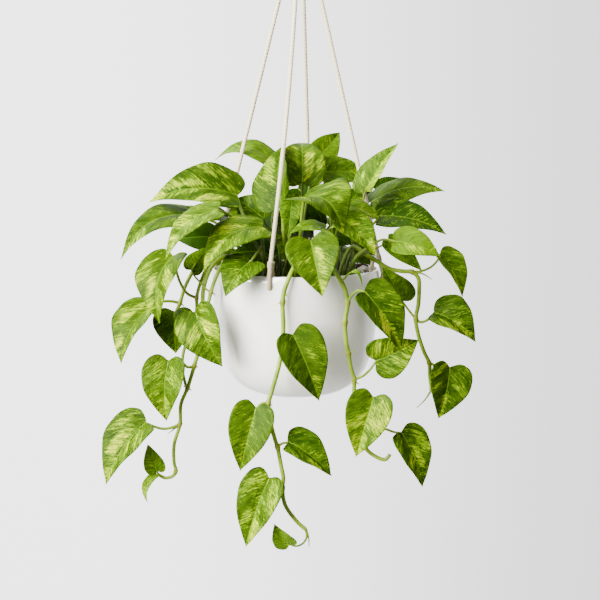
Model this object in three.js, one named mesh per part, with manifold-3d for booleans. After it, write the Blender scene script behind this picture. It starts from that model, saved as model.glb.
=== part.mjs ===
// Potted golden pothos in a white glazed bowl that hangs on four cords.
// Millimetres, Z up. The viewer stands on the -Y side, so X runs to the viewer's right.
// The origin is the point inside the top of the hanging ring where a hook bears.
import * as THREE from 'three';
import { mergeVertices } from 'three/addons/utils/BufferGeometryUtils.js';
import Module from 'manifold-3d';

const wasm = await Module();
wasm.setup();

// Driving dimensions
const GAP = 0.3;
const CORD_DIAMETER = 5.2;
const FRONT_CORD_BOW = 4;
const RING_RADIUS = 15;
const RING_WIRE = 2;
const WHIPPING_RADIUS = 8.4;
const WHIPPING_TOP = -38;
const WHIPPING_HEIGHT = 24;
const POT_X = -6;
const RIM_Z = -467;
const LIP_OUTER = 100.5;
const LIP_INNER = 94.5;
const HOLE_BELOW_LIP = 12.6;
const HOLE_RADIUS = 4;
const SOIL_TOP = -18;
const STEM_BURIED = 14;
const BLADE_THICKNESS = 0.8;
const WIDE_BLADE = 40;
const STALK_STEP = 20;
const STALK_RADIUS = 1;
const STALK_WIDENS = 72;
const STALK_THINS = 0.22;
const STALK_UNDER_RIB = 6;
const JOINT_SWELL = 1.35;
const JOINT_HALF = 3.2;

// The cord holes, in degrees round the pot from the viewer's side towards +X
const CORD_HOLES = { cord_front: -17, cord_right: 81, cord_back: 169.5, cord_left: 253.5 };

// The bowl's outer and inner outlines: radius, and height from the top of the lip
const BOWL_OUTSIDE = [
  [0, -150], [42, -150], [57, -146], [73, -135.5], [84, -121], [91.5, -99], [96.5, -71], [100, -38],
  [101, -14], [LIP_OUTER, -2.5], [99, 0],
];
const BOWL_INSIDE = [
  [96, 0], [LIP_INNER, -2.5], [94.8, -14], [92, -55], [84.6, -97], [72, -125], [50, -140], [0, -143],
];
const ROUND_SIDES = 32;

// Places on the plant are read from the front as [u, w, d]. u runs to the right and w up in the picture
// plane through the middle of the lip. d is the depth towards the viewer from the pot's axis.
const EYE = new THREE.Vector3(POT_X + 5, -1989, RIM_Z + 216);
const PICTURE_LEAN = THREE.MathUtils.degToRad(7.3);

// Each leafy stem: its foot in the soil (x and y from the pot's axis), its radius from foot to tip, and the
// places that it runs through. joints and spikes are on trailing stems: swollen joints at those places, and
// sheath tips or stubs of roots along their own short routes.
const STEMS = {
  vine_front: {
    "base": [0, -66], "thick": [2.7, 2.4],
    "stem": [[0, 4, 86], [-3, -1, 97], [-9, -14, 106], [-14, -28, 107], [-16, -41, 107], [-15, -68, 107],
      [-16, -92, 107], [-20, -116, 107], [-30, -152, 107], [-33, -162, 107], [-31, -182, 107],
      [-25, -206, 107], [-22, -215, 107], [-18, -236, 107], [-15, -252, 107], [-16, -264, 107],
      [-13, -284, 107], [2, -305, 107], [12, -314, 107]],
    "joints": [4, 6, 9, 12, 15],
    "spikes": [[[12, -313, 107], [15, -322, 107], [16, -335, 107]], [[-16, -41, 107], [-21, -43, 109]],
      [[-14, -30, 107], [-9, -35, 109]], [[-33, -162, 107], [-28, -166, 108]]],
  },
  vine_mid_right: {
    "base": [33, -58], "thick": [2.9, 2.3],
    "stem": [[39, 8, 84], [45, -1, 93], [54, -16, 99], [59, -26, 99], [62, -42, 98], [59, -65, 97],
      [60, -86, 96], [63, -103, 96], [66, -120, 95], [70, -134, 94], [70, -149, 93], [74, -176, 92],
      [78, -197, 92], [83, -215, 93], [92, -224, 95], [107, -230, 96], [113, -224, 97]],
    "joints": [4, 5, 7, 9, 13],
    "spikes": [[[63, -103, 96], [70, -99, 97]], [[70, -135, 94], [76, -140, 95]], [[59, -66, 97],
      [54, -68, 98]]],
  },
  vine_right: {
    "base": [50, -20], "thick": [2.8, 2.3],
    "stem": [[68, 26, 30], [83, 17, 36], [99, 7, 40], [113, -1, 42], [128, -4, 43], [140, -5, 44],
      [147, -12, 45], [148, -26, 45], [147, -44, 45], [144, -61, 45], [147, -80, 45], [154, -101, 45],
      [160, -114, 45], [161, -132, 45], [163, -146, 45]],
    "joints": [5, 9, 12, 14],
    "spikes": [[[163, -146, 45], [155, -158, 46], [145, -168, 46]], [[140, -5, 44], [152, -7, 46],
      [164, -14, 48]]],
  },
  vine_left_a: {
    "base": [-64, 2], "thick": [2.5, 2.2],
    "stem": [[-88, 18, 12], [-105, 15, 14], [-112, 7, 15], [-123, -4, 16], [-133, -23, 17],
      [-139, -42, 18], [-144, -54, 18]],
    "joints": [3, 5],
    "spikes": [[[-139, -42, 18], [-134, -46, 19]]],
  },
  vine_left_b: {
    "base": [-60, -18], "thick": [2.4, 1.8],
    "stem": [[-86, 14, 28], [-100, 11, 30], [-108, -2, 31], [-113, -14, 32], [-117, -26, 32],
      [-119, -36, 32], [-119, -50, 32], [-122, -64, 33], [-129, -84, 36], [-135, -102, 40],
      [-136, -122, 43], [-132, -142, 43]],
    "joints": [5],
    "spikes": [],
  },
  vine_left_c: {
    "base": [-50, -46], "thick": [2.5, 2.2],
    "stem": [[-76, 12, 52], [-84, 8, 58], [-91, -1, 62], [-97, -14, 64], [-102, -29, 64],
      [-105, -41, 65], [-111, -49, 67]],
    "joints": [4],
    "spikes": [[[-101, -29, 64], [-96, -33, 65]]],
  },
  vine_left_d: {
    "base": [-56, -32], "thick": [2.9, 2.0],
    "stem": [[-82, 13, 40], [-93, 10, 44], [-100, 3, 47], [-107, -11, 49], [-111, -26, 50],
      [-112, -42, 50], [-115, -74, 50], [-118, -104, 50], [-122, -118, 50], [-130, -144, 50],
      [-138, -164, 50], [-139, -187, 50], [-146, -212, 50], [-146, -234, 50], [-144, -244, 50],
      [-148, -250, 50], [-157, -252, 50], [-165, -248, 51]],
    "joints": [8, 9, 11, 14],
    "spikes": [[[-139, -188, 50], [-147, -194, 51], [-154, -199, 52]], [[-130, -144, 50],
      [-125, -147, 51]], [[-130, -143, 50], [-135, -142, 51]], [[-122, -118, 50], [-117, -119, 51]]],
  },
  vine_rear_left: {
    "base": [-30, 64], "thick": [2.6, 2],
    "stem": [[-31, 24, -80], [-32, 22, -94], [-34, 6, -106], [-36, -24, -108], [-40, -56, -107],
      [-44, -88, -106]],
    "joints": [3, 4, 5],
    "spikes": [],
  },
  vine_rear_right: {
    "base": [34, 60], "thick": [2.6, 2],
    "stem": [[37, 24, -76], [40, 20, -92], [46, 4, -104], [50, -24, -106], [52, -54, -106],
      [50, -84, -105]],
    "joints": [3, 4, 5],
    "spikes": [],
  },
  crown_left_high: { "base": [-38, -8], "thick": [3, 2.2], "stem": [[-48, 22, 12], [-52, 40, 14]] },
  crown_left_back: { "base": [-20, 20], "thick": [3, 2.2], "stem": [[-25, 30, -22], [-28, 58, -28]] },
  crown_left_side: { "base": [-52, 18], "thick": [3, 2.2], "stem": [[-66, 20, -14], [-76, 36, -10]] },
  crown_left_front: { "base": [-30, -46], "thick": [3, 2.2], "stem": [[-38, 10, 56], [-40, 26, 62]] },
  crown_mid: { "base": [-9, -20], "thick": [3, 2.2], "stem": [[-12, 20, 28], [-15, 45, 36]] },
  crown_mid_back: { "base": [6, 8], "thick": [3, 2.2], "stem": [[6, 30, -4], [7, 60, 2]] },
  crown_mid_right: { "base": [14, -36], "thick": [3, 2.2], "stem": [[10, 10, 42], [5, 34, 48]] },
  crown_front: { "base": [22, -64], "thick": [3, 2.2], "stem": [[24, 4, 70], [24, 14, 76]] },
  crown_right_back: { "base": [38, 20], "thick": [3, 2.2], "stem": [[46, 30, -14], [54, 54, -8]] },
  crown_right: { "base": [56, 0], "thick": [3, 2.2], "stem": [[68, 24, 4], [76, 40, 8]] },
  crown_right_front: { "base": [60, -38], "thick": [3, 2.2], "stem": [[72, 12, 48], [84, 22, 54]] },
  crown_rear_left: { "base": [-46, 42], "thick": [3, 2.2], "stem": [[-52, 24, -52], [-56, 40, -58]] },
  crown_rear_mid: { "base": [-4, 46], "thick": [3, 2.2], "stem": [[-6, 26, -54], [-8, 44, -60]] },
  crown_rear_right: { "base": [50, 44], "thick": [3, 2.2], "stem": [[54, 24, -52], [60, 40, -56]] },
};

// Each leaf: the stem it grows on and the place on that stem, the foot of its blade, its tip, the way its
// upper side faces as [right, up, towards the viewer], its width, how far its rib arches, how steeply its
// halves fold up from the rib, and the places its stalk runs through.
const LEAVES = [
  ["front_1", "vine_front", 6, [-3, -81, 118], [28, -160, 122], [33, 16, 93], 56, 5, 0.55,
    [[-10, -88, 112]]],
  ["front_2", "vine_front", 9, [-48, -169, 111], [-67, -244, 115], [-12, 10, 98], 51, 6, 0.5,
    [[-41, -163, 109]]],
  ["front_3", "vine_front", 12, [-9, -209, 110], [43, -250, 118], [52, 58, 63], 48, 5, 0.6,
    [[-17, -211, 109]]],
  ["front_4", "vine_front", 15, [-32, -253, 112], [-60, -335, 117], [-41, 18, 90], 53, 6, 0.55,
    [[-24, -257, 110]]],
  ["front_5", "vine_front", 18, [-8, -332, 107], [-26, -307, 112], [-35, -30, 88], 29, 3, 0.4,
    [[13, -323, 107], [8, -331, 107], [0, -334, 107]]],
  ["mid_right_1", "vine_mid_right", 4, [83, -29, 106], [126, -102, 116], [55, 32, 77], 57, 7, 0.6,
    [[67, -33, 101], [75, -27, 105]]],
  ["mid_right_2", "vine_mid_right", 2, [57, -14, 103], [80, -23, 112], [0, 98, 20], 12, 15, 0.3, []],
  ["mid_right_3", "vine_mid_right", 9, [97, -111, 88], [148, -86, 96], [-8, -12, 99], 50, 5, 0.45,
    [[80, -130, 94], [89, -122, 90]]],
  ["mid_right_4", "vine_mid_right", 11, [93, -156, 104], [72, -227, 109], [-12, 12, 98], 53, 6, 0.5,
    [[84, -166, 97]]],
  ["mid_right_5", "vine_mid_right", 12, [127, -198, 90], [152, -263, 98], [58, 20, 78], 49, 5, 0.6,
    [[92, -192, 89], [106, -193, 88], [118, -197, 88]]],
  ["right_1", "vine_right", 9, [166, -54, 49], [216, -89, 62], [41, 58, 71], 56, 8, 0.65,
    [[149, -65, 45], [157, -63, 46]]],
  ["right_2", "vine_right", 9, [127, -39, 50], [104, 2, 80], [10, 10, 95], 39, 4, 0.4, [[138, -54, 46]]],
  ["right_3", "vine_right", 12, [185, -120, 54], [171, -181, 60], [28, 5, 95], 53, 5, 0.55,
    [[168, -117, 46], [177, -117, 49]]],
  ["right_4", "vine_right", 5, [173, 16, 44], [200, -35, 52], [66, 35, 67], 40, 6, 0.65,
    [[150, -4, 44], [162, 1, 44], [170, 9, 44]]],
  ["left_a_1", "vine_left_a", 5, [-174, -47, 36], [-210, -115, 66], [-60, 45, 60], 63, 10, 0.55,
    [[-150, -40, 21], [-163, -41, 28]]],
  ["left_a_2", "vine_left_a", 6, [-146, -53, 26], [-144, -103, 34], [-10, 20, 97], 50, 4, 0.35, []],
  ["left_b_1", "vine_left_b", 5, [-148, 14, 50], [-163, -67, 78], [-56, 38, 74], 64, 17, 0.45,
    [[-130, -31, 34], [-139, -17, 40], [-145, 3, 46]]],
  ["left_c_1", "vine_left_c", 6, [-120, -54, 73], [-88, -119, 90], [-28, 0, 94], 56, 7, 0.55, []],
  ["left_c_2", "vine_left_c", 4, [-125, -2, 42], [-107, 25, 36], [20, 50, -60], 26, 3, 0.35,
    [[-107, -26, 58], [-115, -17, 50], [-122, -9, 44]]],
  ["left_d_1", "vine_left_d", 8, [-153, -112, 58], [-155, -184, 64], [-32, 15, 90], 54, 9, 0.55,
    [[-130, -119, 53], [-140, -110, 57]]],
  ["left_d_2", "vine_left_d", 11, [-180, -186, 60], [-228, -260, 76], [-58, 38, 68], 63, 9, 0.6,
    [[-147, -191, 51], [-159, -193, 53], [-171, -190, 56]]],
  ["left_d_3", "vine_left_d", 17, [-167, -243, 54], [-178, -211, 58], [-6, 6, 97], 25, 2, 0.4, []],
  ["left_d_4", "vine_left_d", 17, [-168, -248, 54], [-178, -282, 60], [-72, 30, 60], 17, 9, 0.3, []],
  ["rear_a_1", "vine_rear_left", 3, [-58, -30, -116], [-70, -92, -122], [-10, 20, -97], 54, 6, 0.35,
    [[-46, -22, -110]]],
  ["rear_a_2", "vine_rear_left", 5, [-28, -84, -114], [-18, -138, -118], [5, 15, -98], 50, 6, 0.35,
    [[-36, -82, -110]]],
  ["rear_b_1", "vine_rear_right", 3, [66, -30, -114], [72, -88, -120], [5, 20, -98], 48, 6, 0.35,
    [[58, -22, -109]]],
  ["rear_b_2", "vine_rear_right", 5, [32, -82, -112], [24, -138, -116], [0, 15, -98], 50, 6, 0.35,
    [[41, -80, -109]]],
  ["high_1", "crown_left_high", 1, [-71, 87, 2], [-176, 79, 12], [-5, 77, 64], 75, 16, 0.42,
    [[-59, 54, 22], [-67, 74, 8]]],
  ["high_2", "crown_left_high", 0, [-82, 60, 16], [-126, 52, 46], [-10, 80, 60], 42, 8, 0.35,
    [[-64, 44, 14]]],
  ["back_1", "crown_left_back", 1, [-25, 126, -42], [-97, 129, -58], [0, 90, 44], 44, 20, 0.2,
    [[-26, 94, -38]]],
  ["back_2", "crown_left_back", 0, [-40, 60, 5], [-72, 84, -12], [-20, 50, 85], 44, 5, 0.3,
    [[-32, 46, -12]]],
  ["side_1", "crown_left_side", 1, [-120, 62, 6], [-210, 10, 26], [-42, 75, 50], 62, 24, 0.2,
    [[-96, 54, 0]]],
  ["near_1", "crown_left_front", 1, [-41, 49, 56], [-111, -5, 84], [-48, 60, 62], 66, 20, 0.2,
    [[-40, 38, 58]]],
  ["near_2", "crown_left_front", 0, [-94, 70, 68], [-156, 10, 84], [-61, 61, 50], 52, 14, 0.22,
    [[-54, 38, 46], [-76, 61, 44]]],
  ["near_3", "crown_left_front", 1, [-55, 7, 84], [-85, -35, 110], [-20, 66, 70], 50, 8, 0.35,
    [[-48, 16, 74]]],
  ["mid_1", "crown_mid", 1, [-17, 78, 42], [-13, 150, -2], [-78, 28, 55], 68, 7, 0.6, [[-16, 62, 40]]],
  ["mid_2", "crown_mid", 0, [-5, 84, 46], [-10, 36, 60], [10, 25, 95], 27, 4, 0.35,
    [[-4, 50, 36], [-2, 74, 42]]],
  ["mid_3", "crown_mid_back", 1, [8, 103, 12], [6, 150, -39], [5, 75, 66], 56, 14, 0.35, [[8, 84, 8]]],
  ["mid_4", "crown_mid_back", 0, [24, 130, -42], [53, 163, -62], [25, 20, 90], 36, 4, 0.4, [[13, 80, -24]]],
  ["mid_5", "crown_mid_right", 1, [10, 84, 68], [57, 40, 102], [46, 54, 71], 82, 21, 0.45,
    [[7, 60, 58], [9, 78, 64]]],
  ["mid_6", "crown_mid_right", 0, [57, 57, 72], [96, 14, 96], [30, 50, 78], 43, 7, 0.5,
    [[24, 34, 54], [44, 49, 64]]],
  ["lip_1", "crown_front", 1, [18, 32, 92], [32, -35, 122], [-8, 40, 90], 61, 7, 0.5, [[21, 23, 85]]],
  ["lip_2", "crown_front", 0, [35, 48, 70], [-7, 41, 84], [0, 94, 34], 33, 6, 0.2, [[34, 28, 68]]],
  ["far_1", "crown_right_back", 0, [32, 115, -16], [92, 108, -36], [0, 66, 75], 44, 6, 0.3,
    [[38, 80, -16]]],
  ["far_2", "crown_right", 1, [83, 93, 25], [123, 150, 16], [-64, 43, 64], 37, 3, 0.65, [[78, 66, 20]]],
  ["far_3", "crown_right_back", 0, [54, 65, -4], [80, 97, -20], [-20, 40, 85], 42, 3, 0.3, [[50, 48, -6]]],
  ["right_high_1", "crown_right", 1, [91, 79, -18], [179, 92, 0], [0, 82, 57], 56, 14, 0, [[84, 62, -8]]],
  ["right_high_2", "crown_right", 1, [101, 62, 25], [181, 40, 39], [5, 82, 58], 55, 9, 0.38, [[90, 50, 24]]],
  ["right_high_3", "crown_right", 0, [62, 74, 36], [101, 56, 46], [0, 93, 35], 34, 4, 0.3, [[66, 50, 24]]],
  ["right_low_1", "crown_right_front", 1, [120, 32, 68], [174, 13, 78], [20, 58, 75], 42, 6, 0.4,
    [[104, 34, 64]]],
  ["right_low_2", "crown_right_front", 0, [112, 32, 52], [152, -4, 58], [-60, 70, 35], 24, 4, 0.3,
    [[94, 22, 50]]],
  ["rear_1", "crown_rear_left", 1, [-74, 60, -70], [-122, 40, -112], [-30, 88, -40], 56, 14, 0.35, []],
  ["rear_2", "crown_rear_left", 1, [-46, 72, -78], [-80, 54, -130], [-10, 88, -45], 50, 12, 0.35, []],
  ["rear_3", "crown_rear_left", 0, [-72, 22, -84], [-88, -26, -112], [-40, 50, -75], 50, 9, 0.35, []],
  ["rear_4", "crown_rear_mid", 1, [-14, 78, -62], [-12, 68, -128], [0, 92, -40], 44, 12, 0.35, []],
  ["rear_5", "crown_rear_mid", 0, [-8, 46, -94], [-14, -14, -132], [0, 50, -85], 58, 12, 0.35, []],
  ["rear_6", "crown_rear_right", 1, [58, 82, -62], [84, 72, -122], [20, 90, -40], 56, 16, 0.35, []],
  ["rear_7", "crown_rear_right", 1, [92, 60, -62], [144, 50, -92], [20, 85, -45], 48, 8, 0.35, []],
  ["rear_8", "crown_rear_right", 0, [66, 24, -88], [84, -22, -98], [15, 50, -85], 46, 8, 0.35, []],
  ["rear_9", "crown_rear_right", 0, [46, 58, -80], [54, 32, -134], [10, 70, -70], 44, 10, 0.35, []],
  ["inner_1", "crown_left_side", 1, [-99, 37, -47], [-144, 34, -51], [57, 24, 63], 36, 6, 0.37,
    [[-82, 39, -38]]],
  ["inner_2", "crown_rear_mid", 1, [3, 95, -62], [37, 48, -61], [-10, 58, 69], 41, 8, 0.29, []],
  ["inner_3", "crown_rear_left", 1, [-45, 58, -80], [-28, 6, -56], [-43, 64, 67], 47, 5, 0.24, []],
  ["inner_4", "crown_left_back", 1, [-19, 69, -20], [22, 35, -45], [-41, 55, 52], 42, 9, 0.37, []],
  ["inner_5", "crown_left_high", 0, [-27, 14, 13], [-80, 16, 24], [43, 62, 85], 37, 9, 0.33, []],
  ["inner_6", "crown_right_back", 0, [41, 40, -29], [79, 31, -46], [26, 42, 90], 28, 7, 0.22, []],
  ["inner_7", "crown_rear_right", 1, [98, 94, -72], [127, 108, -71], [10, 22, 83], 21, 10, 0.39, []],
];

// Half of a blade's edge, from its foot round the back lobe to the tip: share of the half width, and share of
// the blade's length. The rib starts at RIB_START of the way round.
const BLADE_EDGE = new THREE.SplineCurve([
  [0, 0], [0.18, -0.07], [0.48, -0.115], [0.83, -0.045], [0.99, 0.11], [0.98, 0.29], [0.82, 0.49],
  [0.55, 0.68], [0.26, 0.85], [0.07, 0.95], [0, 1],
].map(([x, y]) => new THREE.Vector2(x, y)));
const RIB_START = 0.3;
const EDGE_DROOP = 0.15;
const LOBE_TUCK = 1.8;
const LOBE_TUCK_FROM = 0.25;

const COLOURS = {
  leaf: { color: 0x5d9a1f, roughness: 0.42, metalness: 0 },
  pot: { color: 0xf2f1ec, roughness: 0.2, metalness: 0 },
  soil: { color: 0x2b2119, roughness: 0.95, metalness: 0 },
  cord: { color: 0xe9e2cf, roughness: 0.9, metalness: 0 },
  steel: { color: 0xb9babb, roughness: 0.3, metalness: 1 },
};

function potPoint(radius, degrees, height) {
  const turn = THREE.MathUtils.degToRad(degrees);
  return new THREE.Vector3(POT_X + radius * Math.sin(turn), -radius * Math.cos(turn), RIM_Z + height);
}

function seen([u, w, d]) {
  const rise = new THREE.Vector3(u, w * Math.sin(PICTURE_LEAN), w * Math.cos(PICTURE_LEAN));
  const onPlane = rise.add(new THREE.Vector3(POT_X, 0, RIM_Z));
  return EYE.clone().lerp(onPlane, (-d - EYE.y) / (onPlane.y - EYE.y));
}

// Shared corners become one, flat triangles go, and the faces point outwards.
function tidied(geometry) {
  geometry.deleteAttribute('normal');
  geometry.deleteAttribute('uv');
  const merged = mergeVertices(geometry, 1e-4);
  const corners = Array.from(merged.index.array);
  const faces = [];
  for (let i = 0; i < corners.length; i += 3) {
    const [a, b, c] = corners.slice(i, i + 3);
    if (a !== b && b !== c && c !== a) faces.push([a, b, c]);
  }
  const at = (i) => new THREE.Vector3().fromBufferAttribute(merged.attributes.position, i);
  const volume = faces.reduce((sum, [a, b, c]) => sum + at(a).dot(at(b).cross(at(c))), 0);
  merged.setIndex((volume > 0 ? faces : faces.map(([a, b, c]) => [a, c, b])).flat());
  return merged;
}

function solid(geometry) {
  const clean = tidied(geometry);
  const vertProperties = new Float32Array(clean.attributes.position.array);
  const triVerts = new Uint32Array(clean.index.array);
  return new wasm.Manifold(new wasm.Mesh({ numProp: 3, vertProperties, triVerts }));
}

// One closed body: the largest shell stays, and sealed hollows and loose scraps go.
function geometryOf(body) {
  const shells = body.decompose();
  const largest = shells.reduce((best, shell) => (shell.volume() > best.volume() ? shell : best));
  const cut = largest.getMesh();
  const geometry = new THREE.BufferGeometry();
  geometry.setAttribute('position', new THREE.BufferAttribute(cut.vertProperties, 3));
  geometry.setIndex(Array.from(cut.triVerts));
  return tidied(geometry);
}

function fused(bodies) {
  return bodies.reduce((whole, body) => whole.add(body));
}

// A closed tube whose rings stand at the places given, each with its own radius
function stalk(places, radii, sides) {
  const curve = new THREE.CatmullRomCurve3(places, false, 'catmullrom', 0.5);
  const count = places.length - 1;
  const across = new THREE.Vector3(0.36, 0.8, 0.48);
  const corners = [];
  const faces = [];
  for (let i = 0; i <= count; i += 1) {
    const centre = places[i];
    const heading = curve.getTangent(i / count);
    across.addScaledVector(heading, -across.dot(heading)).normalize();
    const side = new THREE.Vector3().crossVectors(heading, across);
    const radius = radii[i];
    for (let s = 0; s < sides; s += 1) {
      const turn = (2 * Math.PI * s) / sides;
      const corner = centre.clone().addScaledVector(across, radius * Math.cos(turn));
      corners.push(corner.addScaledVector(side, radius * Math.sin(turn)));
      const next = (s + 1) % sides;
      const low = i * sides;
      const high = low + sides;
      if (i < count) faces.push([low + s, low + next, high + next], [low + s, high + next, high + s]);
    }
  }
  for (let s = 2; s < sides; s += 1) {
    const last = count * sides;
    faces.push([0, s, s - 1], [last, last + s - 1, last + s]);
  }
  const geometry = new THREE.BufferGeometry().setFromPoints(corners);
  geometry.setIndex(faces.flat());
  return solid(geometry);
}

// The foot, length and directions of a blade, worked out from its two ends and the way it faces
function bladeFrame([, , , foot, tip, [right, up, near]]) {
  const start = seen(foot);
  const along = seen(tip).sub(start);
  const length = along.length();
  along.normalize();
  const face = new THREE.Vector3(right, -near, up);
  face.addScaledVector(along, -face.dot(along)).normalize();
  return { start, length, along, face, side: new THREE.Vector3().crossVectors(along, face) };
}

function bladeRows([, , , , , , width]) {
  return width >= WIDE_BLADE ? 7 : 5;
}

// A point of a blade, at a share of the way round its edge and a share of the way out from the rib.
// The back lobe of the half that is seen more on edge is tucked in.
function bladePoint(leaf, frame, hand, round, out) {
  const [, , , , , , width, arch, fold] = leaf;
  const edge = BLADE_EDGE.getPoint(round);
  const tuck = LOBE_TUCK * (-hand * frame.side.y - LOBE_TUCK_FROM);
  if (edge.y < 0) edge.y *= 1 - THREE.MathUtils.clamp(tuck, 0, 1);
  const rib = Math.max(0, (round - RIB_START) / (1 - RIB_START));
  const outward = (width / 2) * edge.x * out;
  const share = THREE.MathUtils.lerp(rib, edge.y, out);
  const archHere = share > 0 ? 4 * share * (1 - share) : 2 * share;
  const lift = arch * archHere + fold * outward - (EDGE_DROOP * outward * outward * 2) / width;
  const point = frame.start.clone().addScaledVector(frame.along, share * frame.length);
  return point.addScaledVector(frame.side, hand * outward).addScaledVector(frame.face, lift);
}

// A blade: its middle surface, then both faces half a thickness off it, split into triangles alike
function blade(leaf) {
  const rows = bladeRows(leaf);
  const frame = bladeFrame(leaf);
  const middle = [];
  const add = (hand, row, out) => middle.push(bladePoint(leaf, frame, hand, row / rows, out)) - 1;
  const foot = add(1, 0, 0);
  const tip = add(1, rows, 0);
  const rib = Array.from({ length: rows }, (_, row) => (row / rows > RIB_START ? add(1, row, 0) : foot));
  const faces = [];
  const edges = {};
  for (const hand of [1, -1]) {
    const edge = [foot, ...Array.from({ length: rows - 1 }, (_, i) => add(hand, i + 1, 1)), tip];
    edges[hand] = edge;
    for (let row = 1; row < rows; row += 1) {
      const inner = row + 1 < rows ? rib[row + 1] : tip;
      for (const face of [[rib[row], edge[row], edge[row + 1]], [rib[row], edge[row + 1], inner]]) {
        if (new Set(face).size === 3) faces.push(hand > 0 ? face : face.reverse());
      }
    }
  }
  const surface = new THREE.BufferGeometry().setFromPoints(middle);
  surface.setIndex(faces.flat());
  surface.computeVertexNormals();
  const off = middle.map((_, i) => new THREE.Vector3().fromBufferAttribute(surface.attributes.normal, i));
  const top = middle.map((point, i) => point.clone().addScaledVector(off[i], BLADE_THICKNESS / 2));
  const below = middle.map((point, i) => point.clone().addScaledVector(off[i], -BLADE_THICKNESS / 2));
  const count = middle.length;
  const all = [...faces, ...faces.map(([a, b, c]) => [c + count, b + count, a + count])];
  const rim = [...edges[1], ...edges[-1].slice(1, -1).reverse()];
  rim.forEach((a, i) => {
    const b = rim[(i + 1) % rim.length];
    all.push([b, a, a + count], [b, a + count, b + count]);
  });
  const geometry = new THREE.BufferGeometry().setFromPoints([...top, ...below]);
  geometry.setIndex(all.flat());
  return solid(geometry);
}

// A leaf's stalk, from its joint to a little way along the underside of the rib. Rings stand at about every
// STALK_STEP up to the blade's foot.
function leafStalk(leaf, joint) {
  const [, , , , , , width, , , through] = leaf;
  const frame = bladeFrame(leaf);
  const rows = bladeRows(leaf);
  const ribPlace = bladePoint(leaf, frame, 1, Math.ceil(rows * RIB_START) / rows, 0);
  const alongRib = ribPlace.sub(frame.start).normalize();
  const radius = STALK_RADIUS + width / STALK_WIDENS;
  const foot = frame.start.clone().addScaledVector(frame.face, -BLADE_THICKNESS / 2 - radius * 0.15);
  const curve = new THREE.CatmullRomCurve3([joint, ...through.map(seen), foot], false, 'centripetal');
  const count = Math.max(1, Math.round(curve.getLength() / STALK_STEP));
  const places = [...curve.getSpacedPoints(count), foot.clone().addScaledVector(alongRib, STALK_UNDER_RIB)];
  return stalk(places, places.map((_, i) => radius * (1 - (STALK_THINS * i) / (count + 1))), 4);
}

// A stem thins towards its end, and swells in a short ring at each joint.
function stemTube(route, { thick: [first, last], joints = [] }) {
  const places = [];
  const radii = [];
  route.forEach((place, i) => {
    const radius = THREE.MathUtils.lerp(first, last, i / (route.length - 1));
    const isJoint = joints.includes(i - 2) && i + 1 < route.length;
    if (!isJoint) {
      places.push(place);
      radii.push(radius);
      return;
    }
    const heading = route[i + 1].clone().sub(route[i - 1]).normalize();
    for (const [step, swell] of [[-JOINT_HALF, 1], [0, JOINT_SWELL], [JOINT_HALF, 1]]) {
      places.push(place.clone().addScaledVector(heading, step));
      radii.push(radius * swell);
    }
  });
  return stalk(places, radii, 6);
}

function stemRoute({ base: [x, y], stem }) {
  const foot = [SOIL_TOP - STEM_BURIED, SOIL_TOP + 3].map((z) => new THREE.Vector3(POT_X + x, y, RIM_Z + z));
  return [...foot, ...stem.map(seen)];
}

// A leafy stem with everything that grows on it, as one body
function leafyStem(name) {
  const row = STEMS[name];
  const route = stemRoute(row);
  const places = route.slice(2);
  const parts = [stemTube(route, row)];
  for (const spike of row.spikes ?? []) parts.push(stalk(spike.map(seen), [1.4, 0.9, 0.5], 4));
  for (const leaf of LEAVES.filter(([, stem]) => stem === name)) {
    parts.push(leafStalk(leaf, places[leaf[2]]), blade(leaf));
  }
  return fused(parts);
}

function lathe(outline) {
  const profile = outline.map(([radius, height]) => new THREE.Vector2(radius, height));
  const geometry = new THREE.LatheGeometry(profile, ROUND_SIDES);
  geometry.rotateX(Math.PI / 2);
  geometry.translate(POT_X, 0, RIM_Z);
  return solid(geometry);
}

function bowl() {
  const shell = lathe([...BOWL_OUTSIDE, ...BOWL_INSIDE]);
  return Object.values(CORD_HOLES).reduce((rest, degrees) => {
    const ends = [LIP_INNER - 8, LIP_OUTER + 8].map((radius) => potPoint(radius, degrees, -HOLE_BELOW_LIP));
    return rest.subtract(stalk(ends, [HOLE_RADIUS, HOLE_RADIUS], 12));
  }, shell);
}

// The soil fills the bowl to SOIL_TOP, with a plain hole for each stem.
function soil() {
  const wall = BOWL_INSIDE.slice(3).map(([radius, height]) => [Math.max(0, radius - GAP), height + GAP]);
  const fill = lathe([[0, SOIL_TOP + 1.5], [94, SOIL_TOP], ...wall]);
  return Object.values(STEMS).reduce((rest, { base: [x, y], thick }) => {
    const ends = [SOIL_TOP - STEM_BURIED - GAP, SOIL_TOP + 6];
    const axis = ends.map((z) => new THREE.Vector3(POT_X + x, y, RIM_Z + z));
    const radius = (thick[0] + GAP) / Math.cos(Math.PI / 6);
    return rest.subtract(stalk(axis, [radius, radius], 6));
  }, fill);
}

// A cord leg: down from the whipping, over the lip outside, in through its hole and up again inside, where it
// lies against itself. The leaves push the front cord a little to the viewer's right.
function cordRoute(degrees) {
  const heading = potPoint(1, degrees, 0).sub(potPoint(0, degrees, 0));
  const top = heading.clone().multiplyScalar(4.1).setZ(WHIPPING_TOP - WHIPPING_HEIGHT - 1);
  const lip = potPoint(102.6, degrees, 3);
  const bow = degrees === CORD_HOLES.cord_front ? FRONT_CORD_BOW : 0;
  const down = [0, 0.3, 0.6, 0.95].map((share) => {
    const place = top.clone().lerp(lip, share);
    place.x += bow * Math.sin(Math.PI * share);
    return place;
  });
  const turn = [
    [104.4, -3], [104.4, -8.4], [102.6, -12.2], [97.7, -13.4], [92.8, -12.2], [91, -8.4], [91, -3], [91.6, 3],
    [92.8, 10], [93, 15],
  ].map(([radius, height]) => potPoint(radius, degrees, height));
  return [...down, lip, ...turn];
}

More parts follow.
